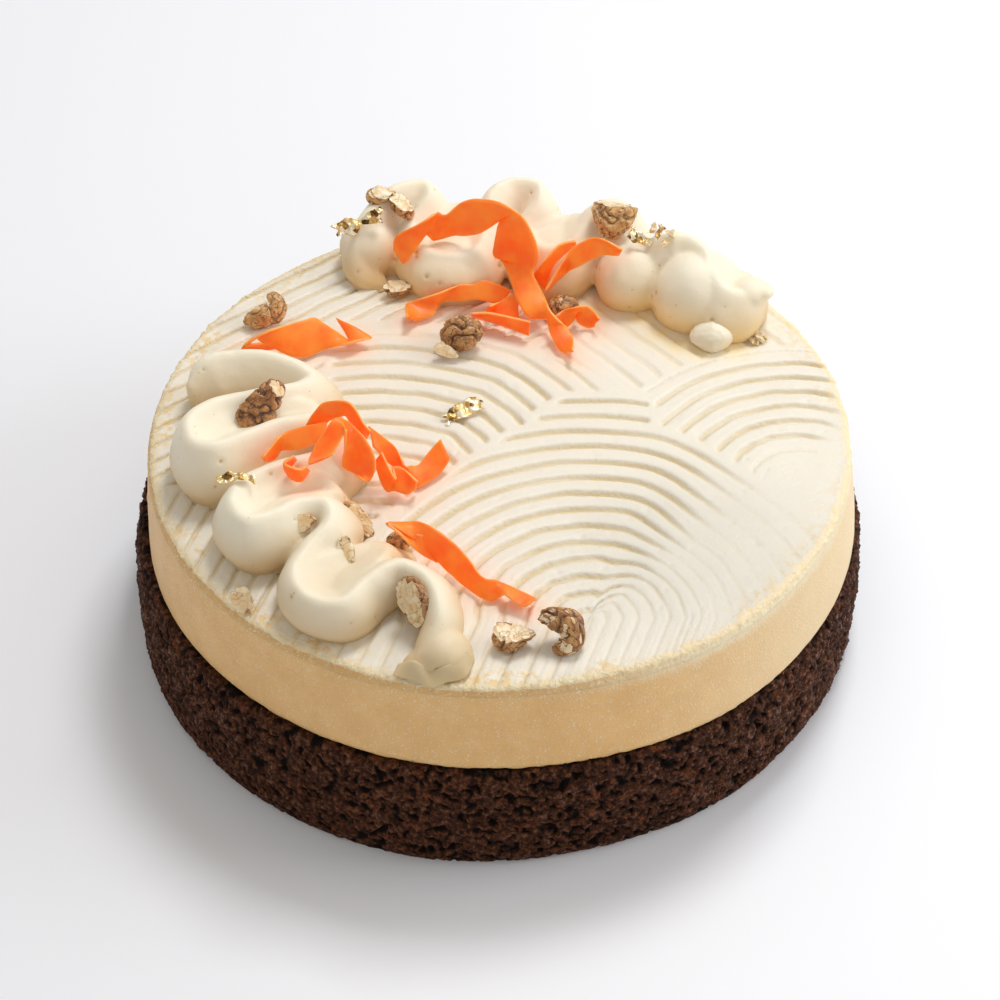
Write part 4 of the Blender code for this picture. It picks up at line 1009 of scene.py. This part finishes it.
# part carrot stain, part painted bounce light from the carrot
warm = piped.tint(piped.layer("carrot_stain_and_bounce") * 0.42, holes, (0.94, 0.58, 0.31))
piped.set({"Base Color": warm, "Roughness": 0.46 + 0.12 * cloud, "Subsurface Weight": 0.2,
           "Subsurface Scale": 0.005, "Subsurface Radius": (1.0, 0.75, 0.45)})
piped.bumps(piped.grain(1.2, 2) * 0.4 + piped.grain(3.5, 3) * 0.6 - tiny * 0.8, 0.12)
SWIRLS = {
    "swirl_front": (FRONT_CREST, 34, FRONT_MOUNDS, 3),
    "swirl_back": (BACK_CREST, 24, BACK_MOUNDS, 5),
}
for name, values in SWIRLS.items():
    keep(make_swirl(name, *values), "piped_" + name, piped, [name])

# %% [markdown]
# ## The dab of cream
# Beside the back swirl the nozzle left a small dab, like a flattened egg with a blunt tip.

# %% The dab of cream
DAB_PLACE, DAB_SIZE = (60, 37, 2.6), (6.2, 5.4, 4.4)


def make_dab():
    """The small dab of cream beside the back swirl."""
    bm = bmesh.new()
    bmesh.ops.create_icosphere(bm, subdivisions=5, radius=1)
    pale = bm.verts.layers.float.new("pale")
    for vert in bm.verts:
        vert[pale] = 0.7
        blunt = 1 - 0.25 * max(0, -vert.co.x)
        swell = 1 + 0.10 * noise.noise(vert.co * 1.1 + Vector((4, 0, 0)))
        vert.co *= swell + 0.03 * noise.noise(vert.co * 4)
        vert.co.y *= blunt
        vert.co.z *= blunt
    stretch = Matrix.Diagonal((*[radius * MM for radius in DAB_SIZE], 1))
    bmesh.ops.transform(bm, matrix=over_cream(DAB_PLACE) @ stretch, verts=bm.verts)
    rest_on_cream(bm)
    return bm


keep(make_dab(), "cream_dab", piped, ["cream_blob"])

# %% [markdown]
# ## The carrot ribbons
# The ribbons were shaved from a raw carrot with a peeler. They are thin, so light shines through them,
# most of all at their edges; the paler edges and a faint glow are painted light in the finish, on top of
# the light scattered inside. Faint lines run along them, from the carrot's fibres.
# Each is a fine grid along its stations, cupped a little across its width and then thickened.

# %% The carrot's finish
carrot = Finish("carrot_ribbon", 0.34)
flat = carrot.node("ShaderNodeUVMap", {"uv_map": "UVMap"})
across = carrot.axis(flat, "Y")
fibres = carrot.grain(1000, 3, 0.6, (0.6, 26, 1), flat)
off_middle = abs(across - 0.5) * 2
blotch = carrot.grain(5, 2)
thin = carrot.grain(13, 2).between(0.45, 0.68)
orange = carrot.tint(blotch.between(0.3, 0.7), (0.99, 0.135, 0.008), (1.0, 0.26, 0.024))
orange = carrot.tint(thin * 0.4, orange, (1.0, 0.38, 0.055))
orange = carrot.tint(fibres.between(0.45, 0.7) * 0.35, orange, (1.0, 0.28, 0.03))
# painted light: the ribbon is paler towards its edges, where light shines through
orange = carrot.tint(off_middle.between(0.70, 0.97) * 0.4, orange, (1.0, 0.38, 0.07))
orange = carrot.tint(off_middle.between(0.955, 1.0) * 0.4, orange, (1.0, 0.62, 0.32))
# painted light: a faint orange emission makes the ribbons glow as if lit through
carrot.set({"Base Color": orange, "Roughness": 0.30 + 0.16 * blotch, "Coat Weight": 0.1,
            "Coat Roughness": 0.25, "Specular IOR Level": 0.3, "Emission Color": (1.0, 0.13, 0.005, 1),
            "Emission Strength": 0.16, "Subsurface Weight": 0.7, "Subsurface Scale": 0.004,
            "Subsurface Radius": (1.0, 0.30, 0.06)})
carrot.bumps(fibres * 0.7 + carrot.grain(1.4, 2) * 0.5, 0.10)
print("The carrot's finish has", len(carrot.tree.nodes), "nodes")


# %% The ribbons
RIBBON_THICKNESS = 0.7 * MM


def width_vector(bearing, slope, width):
    """The step from one edge of a ribbon to the other."""
    turn, rise = math.radians(bearing), math.radians(slope)
    flat = math.cos(rise) * width
    return Vector((flat * math.cos(turn), flat * math.sin(turn), math.sin(rise) * width))


def make_ribbon(name, stations, finish, node):
    """A strip laid along its stations: one peeled ribbon, or a thin lip of cream."""
    middles = [Vector(station[:3]) for station in stations]
    widths = [width_vector(*station[3:]) for station in stations]
    counts = [4 * count for count in step_counts(middles, 3)]
    route, spread = smooth(middles, counts), smooth(widths, counts)
    last = len(route) - 1
    seed = random.Random(name).uniform(0, 50)

    def place(u, v):
        index = round(u * last)
        along = (route[min(index + 1, last)] - route[max(index - 1, 0)]).normalized()
        side = v - 0.5
        face = along.cross(spread[index]).normalized()
        wave = 1 + 0.06 * noise.noise(Vector((u * last / 5, seed, 4 * side)))
        cup = 0.5 * (0.25 - side * side) * spread[index].length * 0.35
        return (route[index] + spread[index] * side * wave + face * cup) * MM + Vector((0, 0, TOP))

    item = keep(sheet(last, 9, place), name, finish, [node])
    thicken(item, RIBBON_THICKNESS)


for name, stations in RIBBONS.items():
    make_ribbon(name + "_ribbon", stations, carrot, name)

# %% [markdown]
# Where the front swirl ends, the nozzle tore off a thin lip of cream. It is a strip like a ribbon.

# %% The torn lip of the front swirl
LIP = [(-26.5, -90, 1.5, 60, 20, 3.5), (-22, -91, 2.4, 85, 55, 5), (-18, -92.8, 1.0, 95, 35, 4.5),
       (-14.5, -92.4, 2.2, 100, 70, 4.5), (-10.5, -91, 2.8, 130, 50, 5), (-8, -87, 3.6, 160, 60, 3.5)]
make_ribbon("swirl_lip", LIP, piped, "swirl_front")

# %% [markdown]
# ## The walnut pieces
# A walnut kernel is wrinkled like a brain. The skin is brown to tan with thin dark veins, and where
# the kernel broke it is pale and smooth. Each piece is a ball: noise presses furrows into it, planes
# cut it off, and then it is tapered, bent, and laid with its broad side up and to the front.

# %% The walnut's finish
nut = Finish("walnut", 0.42)
broken, furrow, tan = nut.layer("broken"), nut.layer("furrow"), nut.layer("tan")
streaks = nut.grain(2.6, 3, 0.55)
crossing = nut.grain(3.0, 2, 0.55) - 0.5
vein = 1 - abs(crossing).between(0.004, 0.022)
dark_skin = nut.tint(streaks.between(0.3, 0.7), (0.19, 0.055, 0.010), (0.54, 0.225, 0.055))
tan_skin = nut.tint(streaks.between(0.3, 0.7), (0.58, 0.28, 0.078), (0.86, 0.57, 0.25))
skin = nut.tint(tan, dark_skin, tan_skin)
skin = nut.tint(furrow.between(0.3, 0.9) * (0.92 - 0.35 * tan), skin, (0.055, 0.014, 0.004))
skin = nut.tint(vein * 0.8, skin, (0.09, 0.020, 0.005))
flesh = nut.tint(nut.grain(2.4, 3).between(0.35, 0.65), (0.93, 0.77, 0.52), (0.86, 0.60, 0.30))
flesh = nut.tint(vein * nut.grain(5, 1).between(0.45, 0.6) * 0.5, flesh, (0.45, 0.18, 0.06))
torn = broken + (streaks - 0.5) * 0.4
torn_edge = torn.between(0.22, 0.38) * (1 - torn.between(0.45, 0.6))
both = nut.tint(torn_edge * 0.85, nut.tint(torn.between(0.36, 0.5), skin, flesh), (0.19, 0.050, 0.012))
nut.set({"Base Color": both, "Roughness": 0.32 + 0.2 * streaks, "Coat Weight": 0.25,
         "Coat Roughness": 0.25, "Subsurface Weight": 0.2, "Subsurface Scale": 0.002,
         "Subsurface Radius": (1.0, 0.5, 0.25)})
nut.bumps(nut.grain(1.3, 3, 0.55) * 0.6 - vein * 0.6, 0.22)
print("The walnut's finish has", len(nut.tree.nodes), "nodes")

# %% [markdown]
# Each row of the table gives the middle (x, y, height over the cream) and the size (long, wide, thick)
# in millimetres, the turn of the long way in degrees, the form, the broken faces and the skin. The form
# is where the bend starts (a share of the half length), how many degrees it goes, the taper, and how
# square the piece is, from 2 for a ball. A broken face is given by its bearing and slope in degrees and
# the share of the radius that is left. The skin is how tan it is, and how much of it is rubbed off. The
# last number is how finely the ball is divided.

# %% The walnut pieces
WALNUTS = {
    "walnut_left_rim": ((-66, 48.6, 4.3), (14.8, 6.6, 6), 14, (0, 165, 0.1, 2), [], (0.85, 0.3), 3),
    "walnut_back_left": (
        (-33.2, 82.2, 19.4), (8.4, 5.6, 4), 8, (0, 0, 0.3, 2), [(60, 55, 0.35)], (1, 0.2), 2),
    "walnut_back_left_small": (
        (-27.3, 78.5, 18), (9, 6.2, 5), -55, (0, 0, 0.15, 2), [(130, 40, 0.3)], (0.8, 0), 2),
    "walnut_back_foot": (
        (-28.5, 60, 2.8), (8.5, 5, 4.4), 3, (0, 0, 0.2, 2), [(90, 50, 0.25)], (0.6, 0), 2),
    "walnut_middle": ((-10.1, 37, 4.6), (11.8, 10, 8.8), 12, (0, 0, 0.1, 2), [], (0.4, 0.15), 3),
    "walnut_middle_pale": (
        (-14.4, 31.6, 2.6), (7, 3.4, 2.6), -28, (0, 0, 0.4, 2.5), [(0, 90, 0.1)], (1, 0), 2),
    "walnut_back_middle": ((18.4, 49.9, 3.0), (9.5, 7.2, 6.2), 10, (0, 0, 0, 2), [], (0.6, 0.2), 2),
    "walnut_back_crest": (
        (33.4, 68.7, 19.3), (11.4, 11.4, 6), 82, (0, 0, -0.35, 2.5), [(0, 10, 0.72)], (0.95, 0.2), 3),
    "walnut_left_hollow": (
        (-63, -5.6, 15.6), (15.5, 8.6, 4.6), 55, (0, 0, 0.35, 4), [(-10, 20, 0.93)], (0.2, 0.1), 3),
    "walnut_left_wall": (
        (-52.2, -46.6, 10.8), (10.2, 4.6, 4), 15, (0, 0, 0, 2), [(0, 90, 0.3)], (1, 0.5), 2),
    "walnut_left_bowl": (
        (-39.4, -56.8, 8.4), (12, 4.4, 4.2), -82, (0, 0, 0, 2.5), [(190, 45, 0.15)], (0.7, 0.3), 2),
    "walnut_left_foot": (
        (-36.8, -37, 3.6), (12, 4.2, 4), -54, (0, 0, 0, 2), [(20, 60, 0.2)], (0.8, 0.4), 2),
    "walnut_front_foot": ((-26.1, -44.9, 2.8), (8, 5.6, 4.6), 25, (0, 0, 0, 2), [], (1, 0.3), 2),
    "walnut_front_lobe": (
        (-21.8, -73.4, 8.9), (12.8, 9, 6), -58, (0, 0, 0.1, 2.5), [(-115, 35, 0.15)], (0.3, 0.2), 3),
    "walnut_front_pale": (
        (2.9, -80.6, 3.2), (10.8, 7.4, 6.4), 6, (0, 0, 0.6, 2), [(80, 40, 0.3)], (0.45, 0), 3),
    "walnut_front_double": (
        (14.8, -80.4, 4.6), (17.2, 7.2, 6.4), -8, (-0.35, -195, 0, 2), [], (0.35, 1), 3),
    "walnut_front_rim": (
        (-66, -65.6, 2.6), (6.4, 5.2, 3.6), -70, (0, 0, 0, 3), [(0, 80, 0.1)], (1, 0), 2),
}
FACING = Matrix.Rotation(math.radians(90 - 42.9), 4, "X")


def crumpled(spot):
    """How far a point of the ball is pushed, and how deep it lies in a furrow. The spot is in mm."""
    wide = math.exp(-(noise.noise(spot / 4.2) / 0.10) ** 2)
    fine = math.exp(-(noise.noise(spot / 1.9) / 0.12) ** 2)
    return 1.05 - 0.24 * wide - 0.07 * fine + 0.05 * noise.noise(spot / 1.5), max(wide, 0.7 * fine)


def bent(spot, length, start, degrees):
    """Bend a piece round, from a share of its half length onwards."""
    begin = start * length / 2
    if not degrees or spot.x < begin:
        return spot
    radius = (length / 2 - begin) / math.radians(degrees)
    angle = (spot.x - begin) / radius
    out = radius - spot.y
    return Vector((begin + out * math.sin(angle), radius - out * math.cos(angle), spot.z))


def make_walnut(name, middle, size, turn, form, breaks, skin, detail):
    """One walnut piece."""
    start, degrees, taper, square = form
    chance = random.Random(name)
    shift = Vector([chance.uniform(-20, 20) for _ in range(3)])
    bm = bmesh.new()
    bmesh.ops.create_icosphere(bm, subdivisions=detail + 2, radius=1)
    layers = new_layers(bm, "broken", "furrow", "tan")
    for vert in bm.verts:
        vert.co *= sum(abs(share) ** square for share in vert.co) ** (-1 / square)
        spot = Vector([share * length / 2 for share, length in zip(vert.co, size)]) + shift
        push, furrow = crumpled(spot)
        inner = bool(degrees) and vert.co.y * degrees > 0
        pale = soft_step(abs(vert.co.y), 0.4, 0.7) * soft_step(vert.co.x, -0.2, 0.3) * inner * 0.9
        rubbed = soft_step(noise.noise(spot / 2.2 + Vector((0, 9, 0))), 0.08, 0.25) * skin[1]
        pale = max(pale, rubbed * (1 - furrow))
        vert.co *= push
        for bearing, slope, left in breaks:
            normal = width_vector(bearing, slope, 1)
            jagged = 0.10 * noise.noise(spot / 1.7 + Vector((5, 0, 0)))
            beyond = vert.co.dot(normal) - left - jagged
            if beyond > 0:
                vert.co -= normal * beyond * 0.94
                pale = max(pale, min(1, beyond * 7))
        for layer, value in zip(layers, (pale, furrow * (1 - pale), skin[0])):
            vert[layer] = value
        slim = 1 - taper * vert.co.x
        thick = size[2] * (1 + slim) / 2
        vert.co = Vector((vert.co.x * size[0], vert.co.y * size[1] * slim, vert.co.z * thick)) / 2
        vert.co = bent(vert.co, size[0], start, degrees)
    corners = [[pick(vert.co[axis] for vert in bm.verts) for axis in range(3)] for pick in (min, max)]
    bmesh.ops.translate(bm, verts=bm.verts, vec=-(Vector(corners[0]) + Vector(corners[1])) / 2)
    turned_in = FACING @ Matrix.Rotation(math.radians(turn), 4, "Z")
    bmesh.ops.transform(bm, matrix=over_cream(middle) @ turned_in @ Matrix.Scale(MM, 4), verts=bm.verts)
    rest_on_cream(bm)
    return bm


for name, values in WALNUTS.items():
    keep(make_walnut(name, *values), name + "_piece", nut, [name])

# %% [markdown]
# ## Gold leaf
# Bits of gold leaf lie on the swirls and on the combed cream. Leaf is thinner than paper, so it is
# crumpled into many small facets, some bright as a mirror and some dark; these bright and dark facets are
# painted reflections in the colour. Each bit is a grid with torn edges, pushed in and out by noise, and
# shaded flat. A row of the table gives its middle and its size in millimetres, its turn and lean in
# degrees, how far it arches, and what it lies on.

# %% Gold leaf
gold = Finish("gold_leaf", 0.22)
facets = gold.cells(1.5, output="Color")
shine = gold.axis(facets, "X")
# painted reflection: dark and bright facets in the colour
painted_reflection_colour = gold.ramp(shine * 0.8 + gold.grain(2.5, 2) * 0.35, [
    (0.22, (0.10, 0.055, 0.016)), (0.36, (0.66, 0.39, 0.10)), (0.55, (1.0, 0.76, 0.36)),
    (0.75, (1.0, 0.93, 0.74))])
gold.set({"Base Color": painted_reflection_colour, "Metallic": 1.0, "Roughness": 0.28 + 0.25 * shine})
gold.bumps(gold.grain(0.7, 2), 0.4)
LEAF_THICKNESS = 0.12 * MM
LEAVES = {
    "gold_back_left": ((-39.6, 73.0, 16.4), (14, 5.4), 20, 50, 0, "swirl_back"),
    "gold_back_left_tip": ((-33.9, 73.6, 18.6), (4.6, 2.6), 62, 60, 0.6, "swirl_back"),
    "gold_back_crest": ((41, 61.6, 18.6), (6.6, 3.8), -25, 47, -0.5, "swirl_back"),
    "gold_back_crest_tip": ((38.6, 61.2, 20.4), (3.6, 1.8), 80, 50, 0, "swirl_back"),
    "gold_back_bit": ((46, 61, 20.8), (4, 2.6), 55, 47, 0.3, "swirl_back"),
    "gold_middle": ((-9.8, 7.5, 1.3), (11.5, 5.2), 32, 12, 0.4, "cream_top"),
    "gold_front": ((-67.9, -36.9, 18.0), (10.2, 2.6), 2, 35, 0.9, "swirl_front"),
}


def make_leaf(name, middle, size, turn, lean, arch):
    """One crumpled bit of gold leaf."""
    seed = random.Random(name).uniform(0, 60)
    lift = over_cream(middle)
    tilt = Matrix.Rotation(math.radians(lean), 4, "X") @ Matrix.Rotation(math.radians(turn), 4, "Z")

    def place(u, v):
        torn = 0.8 + 0.7 * noise.noise(Vector((u * 4, seed, 2)))
        x = (u - 0.5 + 0.12 * noise.noise(Vector((v * 3, u, seed)))) * size[0]
        y = (v - 0.5) * size[1] * torn + 0.7 * noise.noise(Vector((u * 3, seed, 9)))
        fold = noise.noise(Vector((x / 2, y / 2, seed)))
        fold += 0.4 * noise.noise(Vector((x / 0.8, y / 0.8, seed)))
        arched = arch * (1 - (2 * u - 1) ** 2)
        return lift @ tilt @ (Vector((x, y + arched, 0.9 * fold + abs(arch) * 0.4)) * MM)

    columns, rows = [max(3, round(length / 0.42)) for length in size]
    return sheet(columns, rows, place)


for name, (*values, node) in LEAVES.items():
    item = keep(make_leaf(name, *values), name, gold, [node], sharp=8)
    thicken(item, LEAF_THICKNESS)

# %% [markdown]
# A few crumbs lie loose on the cake: two by the middle walnut, three pale ones by the gold on the back
# swirl, and three bits that make a folded pale flake beside the dab. All have the finish of broken
# walnut. Each is a ball that is flattened to a chip, turned, and roughened by noise. A crumb's row
# gives its place, its height over the cream and its radius, in millimetres.

# %% Crumbs
CRUMBS = {
    "tan_crumbs": ("cream_top", [(-12.1, 33.2, 0.9, 0.9), (-17.1, 35.6, 0.6, 0.6)]),
    "pale_crumbs": (
        "swirl_back", [(44.4, 63, 20.6, 1.2), (49.4, 60.4, 20.8, 1.1), (47.5, 57.6, 19.4, 0.9)]),
    "pale_flake": ("cream_top", [(73.6, 37, 1.0, 1.5), (72, 36.4, 0.7, 1.2), (74.8, 38, 0.7, 1.0)]),
}


CHIP = Matrix.Diagonal((1.25, 0.9, 0.6, 1))


def make_crumbs(places):
    """Small rough crumbs."""
    bm = bmesh.new()
    broken_layer = bm.verts.layers.float.new("broken")
    for x, y, height, radius in places:
        lift = over_cream((x, y, height))
        turn = Matrix.Rotation(math.radians(x * 50), 4, "Z") @ Matrix.Rotation(math.radians(y * 30), 4, "X")
        chip = lift @ turn @ CHIP
        ball = bmesh.ops.create_icosphere(bm, subdivisions=2, radius=radius * MM, matrix=chip)
        middle = lift.to_translation()
        for vert in ball["verts"]:
            vert[broken_layer] = 1
            vert.co += (vert.co - middle) * 1.4 * noise.noise(vert.co / (0.8 * radius * MM))
    return bm


for name, (node, places) in CRUMBS.items():
    keep(make_crumbs(places), name, nut, [node], sharp=35)
